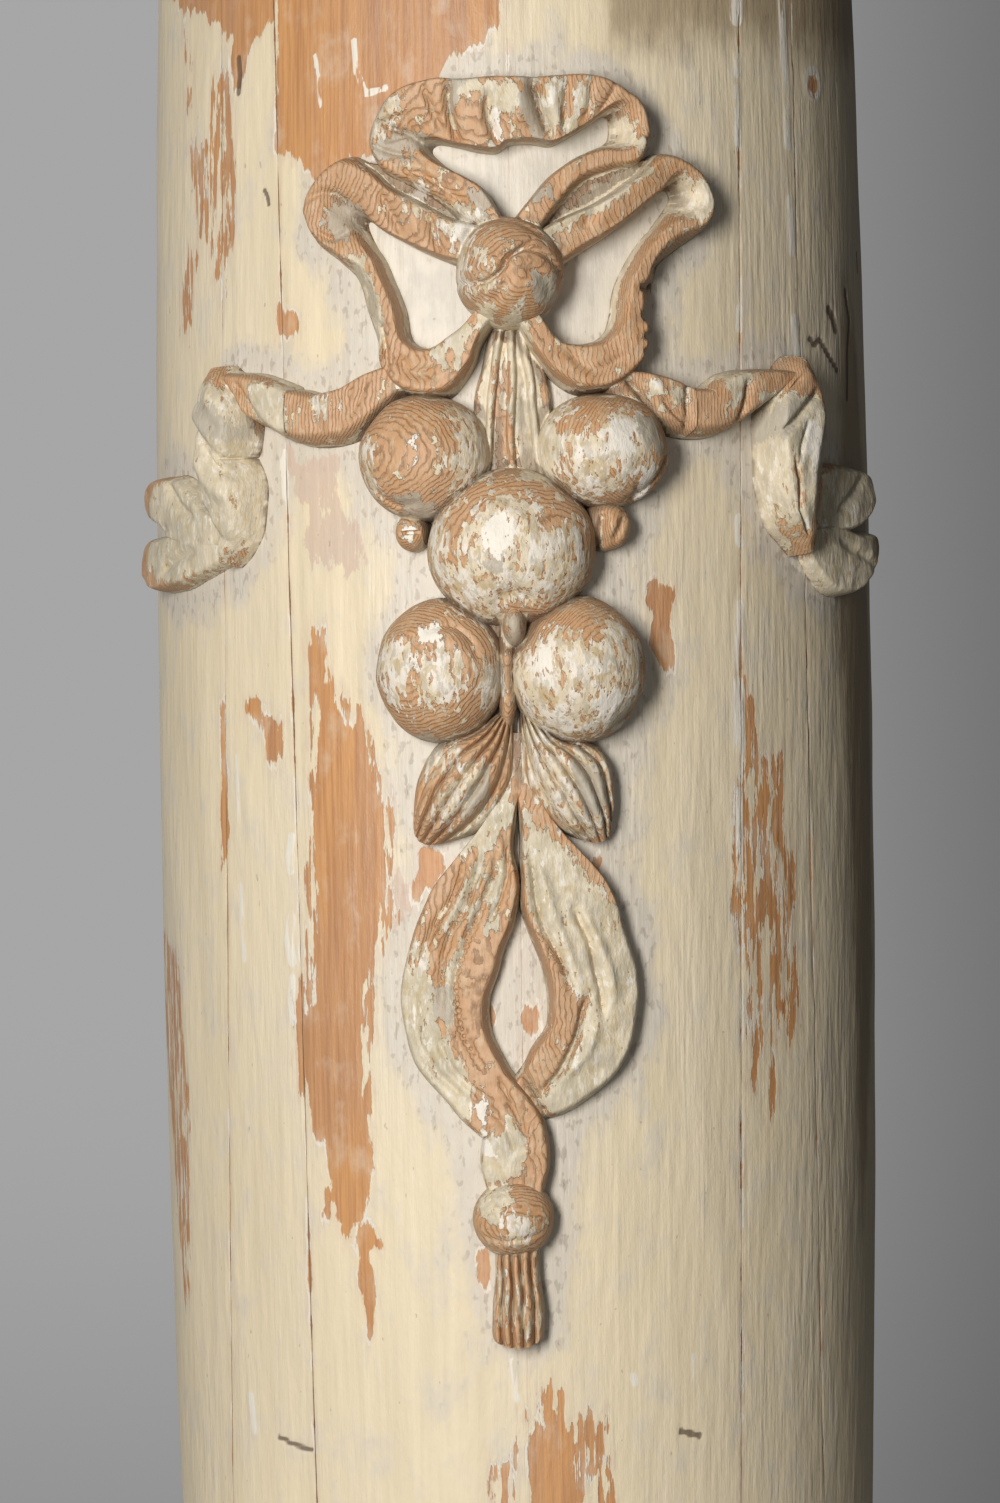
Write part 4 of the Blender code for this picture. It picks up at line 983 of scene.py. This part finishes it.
LEFT_FOLD_CUTS = (
    (3.8, 2.0, (-140, 676), (-134, 666), (-128, 656), (-124, 648)),
    (3.0, 1.8, (-131, 674), (-124, 664), (-117, 654), (-111, 645)),
    (-1.4, 3.0, (-146, 672), (-139, 660), (-132, 652)),
    (2.6, 2.0, (-157, 657), (-148, 648), (-138, 640), (-128, 636)),
    (-2.0, 3.0, (-158, 666), (-146, 653), (-133, 645)),
    (2.6, 1.2, (-146, 643), (-137, 634), (-128, 627)), (-1.6, 3.0, (-154, 640), (-144, 628), (-130, 618)),
    (2.0, 1.4, (-158, 642), (-155, 624), (-149, 606)), (2.0, 2.0, (-146, 606), (-136, 600), (-128, 601)),
    (3.4, 1.8, (-130, 641), (-125, 637), (-121, 635)),
    (2.2, 2.5, (-196, 632), (-182, 620), (-168, 612)), (2.0, 2.5, (-200, 588), (-184, 594), (-168, 598)),
    (1.5, 2.0, (-230, 616), (-210, 611), (-192, 609)),
)
RIGHT_FOLD_CUTS = (
    (3.6, 1.6, (146, 666), (137, 659), (129, 652), (120, 644)),
    (2.6, 1.5, (136, 672), (127, 664), (118, 654)),
    (3.2, 1.6, (108, 670), (105, 659), (101, 649)),
    (-2.0, 3.5, (148, 664), (144, 650), (139, 630), (139, 608)),
    (2.4, 1.0, (127, 634), (130, 621), (131, 610), (138, 598)),
    (1.6, 1.0, (136, 652), (132, 642), (130, 634)),
    (-1.2, 1.6, (153, 662), (156, 646), (153, 626), (150, 606)),
    (1.8, 1.6, (121, 646), (123, 626), (130, 604)),
    (2.2, 2.5, (202, 634), (188, 622), (172, 610)), (2.0, 2.5, (207, 586), (192, 592), (172, 598)),
)


def kept_side(shell, joint, beyond):
    """A ribbon with the part past the upright joint pressed flat on to the joint's face."""
    points, faces = shell
    distance = np.abs(points[:, 0])
    limit = joint + (BLOCK_GAP / 2 if beyond else -BLOCK_GAP / 2)
    pressed = np.maximum(distance, limit) if beyond else np.minimum(distance, limit)
    return np.stack((np.sign(points[:, 0]) * pressed, points[:, 1], points[:, 2]), -1), faces


def cut_at(stations, joint, beyond):
    """The stations on one side of the joint, with one more straight across it."""
    place = [abs(station[0]) for station in stations].index(joint)
    outward = PAST_JOINT if stations[place][0] > 0 else -PAST_JOINT
    past = (stations[place][0] + (-outward if beyond else outward),) + stations[place][1:]
    return (past,) + stations[place:] if beyond else stations[:place + 1] + (past,)


near_shells = []
for stations, joint in ((LEFT_SIDE_RIBBON, LEFT_BLOCK_JOINT), (RIGHT_SIDE_RIBBON, RIGHT_BLOCK_JOINT)):
    shell = handled(ribbon(cut_at(stations, joint, False), 1.5), NEAR_CUTS, 37)
    near_shells.append(kept_side(shell, joint, False))
near_ribbons, near_drawn = new_piece("near_ribbons", near_shells)

ends = []
for side, stations, joint, fold, cuts in (
        ("left", LEFT_SIDE_RIBBON, LEFT_BLOCK_JOINT, LEFT_FOLD, LEFT_FOLD_CUTS),
        ("right", RIGHT_SIDE_RIBBON, RIGHT_BLOCK_JOINT, RIGHT_FOLD, RIGHT_FOLD_CUTS)):
    far = kept_side(handled(ribbon(cut_at(stations, joint, True), 1.5), cuts, 41), joint, True)
    shells = [far] + [handled(ribbon(line, crown), cuts, 43) for line, crown in zip(fold, (3.0, 0.5, 0.5))]
    ends.append(new_piece(side + "_ribbon_fold", shells))


# The coats on the carving
# The same white, grey and cream coats were scraped back from the carving, down to the pine on
# every high place. They are left in the hollows, between the forms and down their sides.
CELL = 1.0
CARVING_FRAY = 0.8
# How far the height map is blurred, in cells, for each reading of it
RELIEF_REACH = 5
CLOSE_REACH = 1
GROOVE_REACH = 3
NEAR_SHADE_REACH = 14
NEAR_SHADE_GAIN = 2.2
carved = [(bow, bow_drawn), (knot, knot_drawn), (fruit, fruit_drawn), (leaves, leaves_drawn),
          (hanging_loop, hanging_drawn), (tassel, tassel_drawn), (near_ribbons, near_drawn)] + ends
LOW_CORNER = np.array((-275.0, 200.0))
CELLS = (551, 641)


def cell_of(drawn):
    """The height map's cell under each drawn point, and whether the point is on the map."""
    cell = np.rint((drawn[:, :2] - LOW_CORNER) / CELL).astype(int)
    on_map = (cell >= 0).all(1) & (cell < CELLS).all(1)
    return np.clip(cell, 0, np.array(CELLS) - 1), on_map


def blurred(levels, reach):
    """The mean over a square of 2 reach + 1 cells, twice, by differences of running sums."""
    for _ in range(2):
        for axis in (0, 1):
            edges = [(0, 0), (0, 0)]
            edges[axis] = (reach + 1, reach)
            sums = np.cumsum(np.pad(levels, edges, mode="edge"), axis=axis)
            size = levels.shape[axis]
            high = np.take(sums, np.arange(size) + 2 * reach + 1, axis=axis)
            levels = (high - np.take(sums, np.arange(size), axis=axis)) / (2 * reach + 1)
    return levels


surface = np.zeros(CELLS)
for _, drawn in carved:
    cell, on_map = cell_of(drawn)
    np.maximum.at(surface, tuple(cell[on_map].T), np.maximum(drawn[on_map, 2], 0))
spread = np.pad(surface, 1)
surface = np.max([spread[i:i + CELLS[0], j:j + CELLS[1]] for i in range(3) for j in range(3)], axis=0)
around_it = blurred(surface, RELIEF_REACH)
close_by = blurred(surface, CLOSE_REACH)
grooves = np.where(surface > 3, blurred(surface, GROOVE_REACH) - close_by, 0)
# How much carving lies near each cell. This sets the greyer paint and the painted shade on the shaft round
# it.
near_grey_and_shade = np.clip(blurred((surface > 1).astype(float), NEAR_SHADE_REACH) * NEAR_SHADE_GAIN, 0, 1)

for board, drawn in stave_pieces:
    cell, on_map = cell_of(drawn)
    store(board.data, "near_carving", np.where(on_map, near_grey_and_shade[tuple(cell.T)], 0))

# Patches of paint left on the carving, in mm across and up: thin and flecked, whole, grey and white. Three
# of the white ones are painted highlights.
SPECKLED_LEFT = (
    ((-46, 752), (-22, 736), (-24, 732), (-44, 746)), ((-88, 664), (-80, 664), (-79, 656), (-86, 654)),
    ((-66, 640), (-60, 618), (-54, 616), (-58, 642)), ((45, 502), (20, 510), (6, 515), (2, 518), (12, 516)),
    ((-44, 500), (-28, 504), (-24, 498), (-40, 488)),
    ((-20, 496), (-12, 490), (-20, 478), (-32, 468), (-36, 472)),
    ((2, 515), (14, 508), (22, 492), (34, 478), (40, 466), (30, 461), (18, 466), (6, 482), (2, 500)),
    ((20, 502), (36, 498), (42, 484), (42, 470), (36, 482), (26, 494)),
    ((-9, 290), (0, 292), (4, 282), (-2, 274), (-8, 280)), ((-24, 726), (-14, 738), (-18, 706), (-24, 708)),
    ((-13, 262), (-11, 262), (-11, 240), (-13, 240)), ((-3, 262), (-1, 262), (-1, 236), (-3, 236)),
    ((3, 264), (5, 264), (6, 238), (4, 238)), ((-62, 782), (-50, 798), (-46, 792), (-56, 780)),
    ((-19, 712), (-5, 712), (-8, 706), (-16, 706)), ((-12, 722), (-8, 724), (-7, 716), (-11, 715)),
    ((160, 618), (180, 632), (186, 622), (172, 606)), ((-52, 410), (-41, 412), (-39, 397), (-48, 396)),
    ((-26, 658), (-21, 658), (-14, 650), (-11, 641), (-12, 630), (-18, 622), (-23, 615), (-27, 616),
     (-24, 624),
     (-26, 633), (-22, 638), (-23, 647)), ((15, 658), (25, 657), (25, 650), (18, 649), (12, 649)),
    ((18, 642), (25, 643), (32, 645), (38, 651), (44, 654), (54, 648), (57, 636), (52, 627), (43, 620),
     (37, 614),
     (27, 613), (22, 618), (21, 624), (18, 632)),
    ((-17, 604), (-13, 610), (-5, 616), (2, 615), (8, 612), (11, 600), (17, 598), (25, 605), (29, 594),
     (29, 580),
     (24, 570), (15, 568), (6, 566), (2, 569), (-2, 571), (-6, 559), (-14, 558), (-24, 567), (-32, 580),
     (-35, 591),
     (-28, 602), (-26, 588), (-23, 586), (-21, 599)),
    ((-24, 612), (-34, 602), (-36, 584), (-30, 570), (-34, 590)),
    ((-54, 553), (-48, 552), (-40, 549), (-38, 544), (-41, 533), (-44, 521), (-52, 523), (-58, 539)),
    ((-36, 543), (-29, 546), (-22, 545), (-19, 540), (-21, 528), (-28, 520), (-37, 519), (-38, 533)),
    ((-14, 540), (-7, 538), (-6, 529), (-10, 519), (-14, 522)),
    ((0, 543), (5, 544), (11, 551), (21, 553), (27, 548), (35, 554), (36, 561), (43, 558), (52, 545),
     (50, 526),
     (42, 512), (26, 506), (10, 507), (2, 521), (-2, 532)),
)
COAT_LEFT = (
    ((-73, 725), (-63, 725), (-59, 714), (-58, 703), (-55, 702), (-55, 688), (-57, 679), (-64, 676),
     (-70, 696)),
    ((24, 777), (36, 784), (47, 790), (56, 786), (57, 773), (47, 775), (38, 774), (28, 769), (20, 764)),
    ((-23, 804), (-16, 804), (-9, 803), (5, 803), (5, 791), (0, 787), (-9, 791), (-10, 795), (-18, 796),
     (-22, 793)),
    ((14, 802), (22, 803), (24, 793), (22, 783), (18, 776), (15, 782), (13, 791)),
    ((28, 803), (34, 803), (34, 792), (30, 786), (24, 778), (23, 785), (27, 790)),
    ((70, 752), (78, 762), (90, 758), (92, 746), (84, 740), (76, 744)),
    ((-13, 702), (-7, 702), (-9, 622), (-16, 622)),
    ((-47, 756), (-37, 762), (-35, 759), (-39, 754), (-35, 747), (-22, 749), (-9, 741), (-20, 736),
     (-24, 738),
     (-30, 743), (-44, 749)), ((-35, 680), (-26, 686), (-27, 674)),
    ((-30, 690), (-18, 700), (-14, 690), (-22, 676)),
    ((-4, 692), (4, 702), (18, 640), (16, 620), (4, 622), (0, 650)),
    ((-7, 690), (-4, 690), (-2, 655), (-6, 655)),
    ((3, 470), (8, 466), (22, 452), (32, 440), (44, 424), (54, 395), (52, 365), (38, 343), (18, 332),
     (6, 342),
     (14, 352), (24, 366), (28, 385), (22, 392), (17, 404), (9, 416), (3, 428), (1, 450)),
    ((-15, 460), (-13, 459), (-18, 440), (-25, 430), (-32, 416), (-36, 419), (-29, 432), (-22, 443)),
    ((-10, 452), (-6, 452), (-8, 437), (-11, 420), (-15, 419), (-15, 432), (-22, 422), (-27, 409),
     (-29, 394),
     (-26, 373), (-31, 371), (-33, 385), (-32, 401), (-27, 412), (-20, 429), (-12, 441)),
    ((-58, 402), (-41, 405), (-39, 397), (-37, 384), (-34, 371), (-26, 361), (-21, 350), (-22, 331),
     (-34, 336),
     (-48, 352), (-60, 379)), ((-27, 462), (-3, 484), (-3, 468), (-9, 459), (-15, 453), (-21, 456),
     (-25, 450)),
    ((-19, 330), (-12, 325), (-6, 334), (2, 326), (0, 312), (-6, 306), (-20, 304)),
    ((-168, 668), (-148, 676), (-132, 666), (-124, 644), (-116, 622), (-120, 600), (-146, 592),
     (-164, 620)),
    ((-106, 672), (-103, 672), (-103, 645), (-118, 650), (-122, 672)),
    ((57, 668), (64, 668), (65, 662), (58, 661)),
    ((67, 663), (78, 664), (78, 657), (69, 656)), ((95, 672), (110, 675), (106, 663), (98, 656)),
    ((-224, 634), (-180, 636), (-150, 622), (-146, 590), (-180, 582), (-206, 586), (-228, 596),
     (-216, 610)),
    ((154, 628), (200, 640), (212, 624), (196, 610), (214, 606), (206, 584), (186, 566), (170, 568),
     (148, 588), (146, 606)),
    ((112, 664), (142, 664), (156, 646), (154, 626), (150, 606), (136, 600), (118, 612), (112, 640)),
    ((14, 734), (24, 745), (40, 757), (56, 767), (62, 763), (46, 749), (28, 738), (14, 728)),
    ((9, 712), (16, 712), (20, 704), (12, 698)),
    ((-17, 304), (-6, 305), (-4, 299), (-11, 292), (-13, 288), (-20, 292)),
    ((-17, 276), (-12, 274), (-12, 262), (-14, 250), (-17, 246)),
)
GREY_LEFT = (
    ((-51, 780), (-45, 783), (-38, 781), (-33, 776), (-36, 772), (-43, 771), (-49, 769), (-56, 771),
     (-57, 774)),
    ((-79, 751), (-71, 753), (-64, 747), (-66, 742), (-72, 733), (-77, 734), (-82, 742)),
    ((5, 805), (12, 806), (11, 795), (13, 788), (17, 776), (12, 775), (8, 782), (5, 785)),
    ((-18, 753), (-10, 755), (-3, 749), (-2, 744), (-10, 745), (-17, 748)),
    ((-24, 803), (-19, 803), (-23, 790), (-26, 792)),
    ((10, 755), (20, 754), (18, 747), (10, 748)), ((8, 714), (18, 712), (18, 700), (8, 702)),
    ((-46, 506), (-34, 508), (-30, 500), (-42, 494)), ((48, 650), (60, 650), (62, 632), (52, 634)),
    ((-42, 616), (-33, 613), (-31, 606), (-38, 604), (-43, 609)),
    ((-158, 664), (-146, 667), (-132, 658), (-126, 648),
     (-142, 647), (-156, 654)), ((-48, 616), (-38, 616), (-38, 608), (-46, 608)),
    ((-12, 592), (-4, 590), (-6, 578), (-12, 580)),
    ((-20, 486), (-12, 492), (-12, 478), (-22, 470)), ((20, 500), (34, 490), (40, 474), (26, 468)),
    ((-38, 394), (-30, 392), (-30, 378), (-38, 380)), ((38, 520), (46, 524), (48, 510), (38, 508)),
    ((118, 652), (124, 660), (136, 662), (128, 648), (118, 640)),
    ((-10, 543), (-6, 540), (-6, 530), (-10, 530)),
    ((-4, 560), (3, 560), (3, 548), (-3, 548)), ((-64, 800), (-50, 800), (-60, 776), (-66, 780)),
)
WHITE_PAINT_AND_HIGHLIGHTS = (
    ((-44, 755), (-36, 760), (-37, 753), (-44, 750)), ((-22, 742), (-14, 742), (-18, 730), (-22, 732)),
    ((-40, 640), (-37, 641), (-37, 632), (-39, 630), (-41, 635)),
    # A painted highlight on the middle fruit, left of its top.
    ((-14, 600), (-4, 606), (-2, 592), (-10, 586)),
    ((38, 650), (46, 650), (46, 634), (38, 636)), ((28, 522), (37, 527), (41, 525), (38, 519), (30, 515)),
    ((-38, 555), (-32, 557), (-27, 553), (-32, 549), (-37, 549)),
    ((-9, 790), (-3, 788), (-3, 777), (-5, 776), (-9, 784)),
    ((50, 622), (58, 628), (58, 616), (52, 614)), ((17, 800), (21, 800), (19, 792), (15, 792)),
    # A painted highlight on the right fold's belly.
    ((134, 652), (142, 654), (144, 640), (139, 628), (133, 636)),
    # A painted highlight along the lit left rim of the left fold's belly.
    ((-162, 656), (-159, 656), (-153, 610), (-157, 610)),
    ((-20, 328), (-15, 326), (-14, 318), (-20, 318)), ((8, 546), (14, 548), (12, 538), (8, 538)),
    ((-47, 601.5), (-43, 602), (-42, 599), (-44, 596), (-47, 597)),
    ((-22, 340), (-16, 342), (-14, 334), (-20, 330)),
)
# Places where the pine stays bare although they lie low
BARE_LEFT = (
    ((-38, 452), (-26, 436), (-44, 400), (-48, 418)), ((-56, 680), (-50, 700), (-46, 690), (-46, 668)),
    ((-240, 642), (-190, 642), (-186, 636), (-206, 631), (-220, 622), (-226, 612), (-242, 614)),
    ((-246, 608), (-230, 608), (-222, 598), (-226, 588), (-222, 578), (-246, 584)),
    ((-25, 402), (-20, 400), (-24, 372), (-8, 352), (-20, 350), (-30, 374)),
    ((2, 322), (12, 328), (12, 300), (4, 298)), ((0, 448), (2, 448), (2, 425), (0, 425)),
    ((-6, 524), (0, 526), (-1, 508), (-16, 498), (-22, 500)),
    ((2, 424), (7, 418), (12, 412), (17, 403), (19, 392),
     (17, 384), (13, 392), (9, 402), (6, 410)),
    ((15, 388), (17, 378), (14, 370), (9, 363), (1, 358), (0, 362), (9, 369), (12, 378)),
    ((-174, 680), (-158, 680), (-160, 664), (-162, 630), (-168, 630)),
    ((120, 680), (150, 682), (158, 666), (161, 640), (156, 606),
     (153, 612), (153, 640), (150, 660), (136, 669), (122, 672)),
    ((125, 636), (128, 636), (133, 612), (130, 610)),
    ((138, 606), (152, 606), (152, 590), (140, 590)),
    ((204, 634), (222, 634), (224, 610), (212, 608), (212, 624)),
    ((208, 606), (226, 606), (226, 590), (216, 588)), ((-16, 262), (-12, 262), (-10, 248), (-15, 248)),
)

EARLY_WOOD = (0.59, 0.36, 0.20, 1)
ORANGE_WOOD = (0.57, 0.315, 0.15, 1)
LATE_WOOD = (0.26, 0.135, 0.065, 1)
LOW_SHADE_WOOD = (0.36, 0.27, 0.18, 1)
LEFT_CREAM = (0.71, 0.61, 0.435, 1)
LEFT_OLIVE = (0.56, 0.485, 0.34, 1)
LEFT_WHITE = (0.80, 0.74, 0.64, 1)
LEFT_GREY = (0.45, 0.40, 0.315, 1)
OCHRE = (0.50, 0.37, 0.17, 1)
CREVICE_SHADE = (0.14, 0.085, 0.05, 1)
# The shift that puts the tree's middle at zero, in metres, the squeeze that draws its rings out
# up the grain, and the width of one year's growth
TO_PITH = (0.012, 0.128, -0.06)
RING_SQUEEZE = (1, 1, 0.14)
YEAR_WIDTH = 0.0013

scraped_pine = Finish("scraped_carved_pine", 0.55)
f = scraped_pine
solid = f.node("TexCoord", {}).outputs["Object"]
blots = f.noise(f.drawn((1, 0.6, 1), (41, 0, 0)), 190.0, 2.0, 0.5)
streaky = f.noise(f.drawn((1, 0.3, 1), (37, 0, 0)), 430.0, 3.0, 0.6)
from_pith = f.node("Mapping", {"Vector": solid, "Location": TO_PITH, "Scale": RING_SQUEEZE})
ring = f.node("VectorMath", {0: from_pith.outputs[0]}, operation="LENGTH").outputs["Value"]
fine = f.noise(f.drawn((1, 0.15, 1)), 900.0, 3.0, 0.6)
mottle = f.noise(f.drawn((1, 0.55, 1), (3, 0, 0)), 150.0, 4.0, 0.62)
tone = f.noise(f.drawn((1, 0.6, 1), (9, 0, 0)), 45.0, 2.0)
flecks = f.noise(f.drawn((1, 0.35, 1), (13, 0, 0)), 330.0, 4.0, 0.65)
wave = f.swing(f.noise(solid, 40.0, 2.0, 0.5), 0.0032)
ripple = f.sum(f.swing(f.noise(solid, 230.0, 2.0, 0.5), 0.0006), f.swing(fine, 0.0004))
years = f.times(f.sum(f.sum(ring, wave), ripple), 1 / YEAR_WIDTH)
year = f.node("Math", {0: years}, operation="FRACT").outputs[0]
late = f.times(f.rise(year, 0.55, 0.9), f.rise(year, 1.0, 0.93))
wood = f.blend(f.rise(tone, 0.4, 0.62), EARLY_WOOD, ORANGE_WOOD)
wood = f.blend(f.times(f.times(late, f.rise(mottle, 0.28, 0.5)), 0.72), wood, LATE_WOOD)
wood = f.blend(f.times(f.rise(fine, 0.48, 0.75), 0.35), wood, LATE_WOOD)
# Bare wood that lies lower than the carving round it is dimmed and greyed: painted shade.
low_side_shade = f.rise(f.sum(f.field("relief"), f.swing(mottle, 5.0)), -0.5, -5.0)
wood = f.blend(f.times(low_side_shade, 0.45), wood, LOW_SHADE_WOOD)

hollow = f.rise(f.sum(f.field("relief"), f.swing(mottle, 3.0)), -1.5, -5.5)
uneven = f.sum(f.swing(mottle, 4.5), f.sum(f.swing(flecks, 7.0), f.times(late, 0.8)))


def left_over(layer, most, soft=0.4):
    """Where a patch of paint is left: its field, no deeper than `most` mm, broken up by flecks."""
    shallow_field = f.node("Math", {0: f.field(layer), 1: most}, operation="MINIMUM").outputs[0]
    return f.rise(f.sum(shallow_field, uneven), -soft, soft)


grooved = f.rise(f.sum(f.field("grooved"), f.swing(flecks, 0.5)), 0.35, 1.7)
holes = f.sum(f.swing(mottle, 4.0), f.sum(f.swing(streaky, 13.0), f.swing(flecks, 5.0)))
speckled = f.node("Math", {0: f.field("speckled"), 1: 2.6}, operation="MINIMUM").outputs[0]
speckled = f.rise(f.sum(speckled, holes), -0.3, 0.3)
grey = left_over("grey", 2.8)
coated, white = left_over("coated", 2.6, 0.3), left_over("white", 2.2)
stray = f.rise(f.sum(mottle, f.swing(flecks, 0.16)), 0.62, 0.65)
scraped = f.rise(f.sum(f.field("scraped"), uneven), -0.5, 0.5)
unscraped = f.node("Math", {0: 1.0, 1: scraped}, operation="SUBTRACT").outputs[0]
kept = f.times(f.times(f.rise(hollow, 0.42, 0.5), unscraped), f.rise(grooved, 0.5, 0.2))
scumble = f.times(f.rise(f.sum(flecks, f.swing(tone, 0.35)), 0.5, 0.64), 0.28)
paint = f.blend(f.rise(mottle, 0.44, 0.58), LEFT_CREAM, LEFT_WHITE)
paint = f.blend(f.times(f.rise(flecks, 0.5, 0.58), 0.6), paint, LEFT_GREY)
paint = f.blend(f.times(f.rise(f.sum(blots, f.swing(flecks, 0.2)), 0.58, 0.62), 0.6), paint, OCHRE)
whole = f.blend(f.rise(tone, 0.38, 0.66), LEFT_CREAM, LEFT_OLIVE)
whole = f.blend(f.times(f.rise(mottle, 0.45, 0.66), 0.55), whole, LEFT_GREY)
whole = f.blend(f.times(f.rise(streaky, 0.54, 0.62), 0.4), whole, LEFT_WHITE)
whole = f.blend(f.times(f.rise(f.sum(blots, f.swing(flecks, 0.2)), 0.56, 0.64), 0.35), whole, OCHRE)
whole = f.blend(f.times(f.rise(flecks, 0.53, 0.6), f.rise(mottle, 0.5, 0.4)), whole, LEFT_WHITE)
colour = f.blend(scumble, wood, LEFT_CREAM)
colour = f.blend(stray, colour, LEFT_CREAM)
colour = f.blend(f.times(kept, 0.9), colour, whole)
colour = f.blend(f.times(speckled, 0.92), colour, paint)
colour = f.blend(f.times(coated, unscraped), colour, whole)
colour = f.blend(f.times(grey, 0.8), colour, LEFT_GREY)
# The white patches include the painted highlights.
colour = f.blend(white, colour, LEFT_WHITE)
# The cuts, the deep low places and a thin line at the foot, where the carving meets the shaft, are
# darkened: painted shade.
height = f.node("SeparateXYZ", {0: f.drawn()}).outputs["Z"]
foot = f.rise(f.sum(height, f.swing(flecks, 0.0025)), 0.0012, -0.0003)
crevice_shade = f.rise(f.sum(f.field("relief"), f.swing(flecks, 1.5)), -7.0, -12.0)
colour = f.blend(f.times(grooved, 0.6), colour, CREVICE_SHADE)
colour = f.blend(f.times(f.most(f.times(crevice_shade, 0.5), foot), 0.8), colour, CREVICE_SHADE)
f.tree.links.new(colour, f.shader.inputs["Base Color"])
film = f.most(f.most(speckled, grey), f.most(f.most(white, coated), f.most(stray, kept)))
bare_late = f.times(late, f.node("Math", {0: 1.0, 1: film}, operation="SUBTRACT").outputs[0])
relief = f.sum(f.times(film, 0.00022), f.times(bare_late, 0.0002))
rough = f.sum(f.times(f.times(streaky, film), 0.0006), f.times(flecks, 0.0004))
f.bumped(f.sum(relief, f.sum(f.times(mottle, 0.0007), rough)))

for piece, drawn in carved:
    cell, _ = cell_of(drawn)
    across, up = drawn[:, 0], drawn[:, 1]
    store(piece.data, "relief", drawn[:, 2] - around_it[tuple(cell.T)])
    store(piece.data, "grooved", grooves[tuple(cell.T)])
    for layer, outlines in (("speckled", SPECKLED_LEFT), ("coated", COAT_LEFT), ("grey", GREY_LEFT),
                            ("white", WHITE_PAINT_AND_HIGHLIGHTS), ("scraped", BARE_LEFT)):
        store(piece.data, layer, patched(across, up, outlines, CARVING_FRAY))
    piece.data.materials.append(scraped_pine.material)
    end_piece = piece in [made for made, _ in ends]
    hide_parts(piece.name.replace("_fold", "_end") if end_piece else "festoon_carving")
    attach(piece, "root")


# The studio
# The column stands on a pale round floor before a plain grey ground that falls off to the right.
# One soft lamp lights it from the left of the camera, a little above, and a weak one fills.
FLOOR_RADIUS = 2.2
FLOOR_GREY = (0.42, 0.42, 0.41, 1)
GROUND_LIGHT = 0.385
GROUND_DARK = 0.06
RIM_POINTS = 64
FLOOR_ENDS = 0.56
FLOOR_FADES = 0.24
LAMP_AIM = (0, 0, 0.42)
LAMP_COLOUR = (1.0, 0.985, 0.965)
SENSOR_WIDTH = 36.0
LENS = 90.61
CAMERA_ASIDE = -0.0082
CAMERA_DISTANCE = 1.9
CAMERA_HEIGHT = 0.5
CAMERA_ROLL = 0.88

turned = np.linspace(0, 2 * math.pi, RIM_POINTS, endpoint=False)
rim = np.stack((FLOOR_RADIUS * np.cos(turned), FLOOR_RADIUS * np.sin(turned), 0 * turned), -1)
floor_mesh = bpy.data.meshes.new("floor")
floor_mesh.from_pydata(rim.tolist(), [], [list(range(RIM_POINTS))])
floor = bpy.data.objects.new("floor", floor_mesh)
bpy.context.scene.collection.objects.link(floor)
pale_floor = Finish("pale_floor", 0.8)
f = pale_floor
f.shader.inputs["Base Color"].default_value = FLOOR_GREY
flat = f.node("TexCoord", {}).outputs["Object"]
distance = f.node("VectorMath", {0: flat}, operation="LENGTH").outputs["Value"]
f.tree.links.new(f.rise(distance, FLOOR_ENDS, FLOOR_FADES), f.shader.inputs["Alpha"])
floor.data.materials.append(pale_floor.material)

world = bpy.data.worlds.new("grey_ground")
world.use_nodes = True
bpy.context.scene.world = world
nodes, links = world.node_tree.nodes, world.node_tree.links
direction = nodes.new("ShaderNodeTexCoord").outputs["Generated"]
parts = nodes.new("ShaderNodeSeparateXYZ")
links.new(direction, parts.inputs[0])


def shaded(axis, start, end, first, last):
    """A value that goes from `first` to `last` with one part of the direction looked in."""
    made = nodes.new("ShaderNodeMapRange")
    made.interpolation_type = "SMOOTHSTEP"
    for key, value in (("From Min", start), ("From Max", end), ("To Min", first), ("To Max", last)):
        made.inputs[key].default_value = value
    links.new(parts.outputs[axis], made.inputs["Value"])
    return made.outputs[0]


brightness = shaded("X", -0.04, 0.25, GROUND_LIGHT, GROUND_DARK)
for factor in (shaded("Z", -0.32, -0.06, 0.55, 1.0), shaded("Y", -0.4, 0.6, 0.2, 1.0)):
    product = nodes.new("ShaderNodeMath")
    product.operation = "MULTIPLY"
    links.new(brightness, product.inputs[0])
    links.new(factor, product.inputs[1])
    brightness = product.outputs[0]
links.new(brightness, nodes["Background"].inputs["Color"])


def lamp(name, place, aim, width, height, power, colour):
    """A flat soft lamp that looks from its place at a point."""
    data = bpy.data.lights.new(name, "AREA")
    data.shape, data.size, data.size_y = "RECTANGLE", width, height
    data.energy, data.color = power, colour
    made = bpy.data.objects.new(name, data)
    bpy.context.scene.collection.objects.link(made)
    x, y, z = (a - b for a, b in zip(aim, place))
    made.location = place
    made.rotation_euler = (math.atan2(math.hypot(x, y), -z), 0, math.atan2(-x, y))
    return made


lamp("key_lamp", (-0.62, -1.82, 0.70), LAMP_AIM, 0.34, 0.9, 34.5, LAMP_COLOUR)
lamp("fill_lamp", (0.6, -1.9, 0.45), LAMP_AIM, 1.2, 1.4, 3.2, LAMP_COLOUR)
bpy.context.scene.view_settings.view_transform = "Standard"

camera = bpy.data.cameras.new("camera")
camera.sensor_width = SENSOR_WIDTH
camera.lens = LENS
view = bpy.data.objects.new("camera", camera)
bpy.context.scene.collection.objects.link(view)
view.location = (CAMERA_ASIDE, AXIS_SETBACK / 1000 - CAMERA_DISTANCE, CAMERA_HEIGHT)
view.rotation_euler = (math.pi / 2, math.radians(CAMERA_ROLL), 0)
bpy.context.scene.camera = view
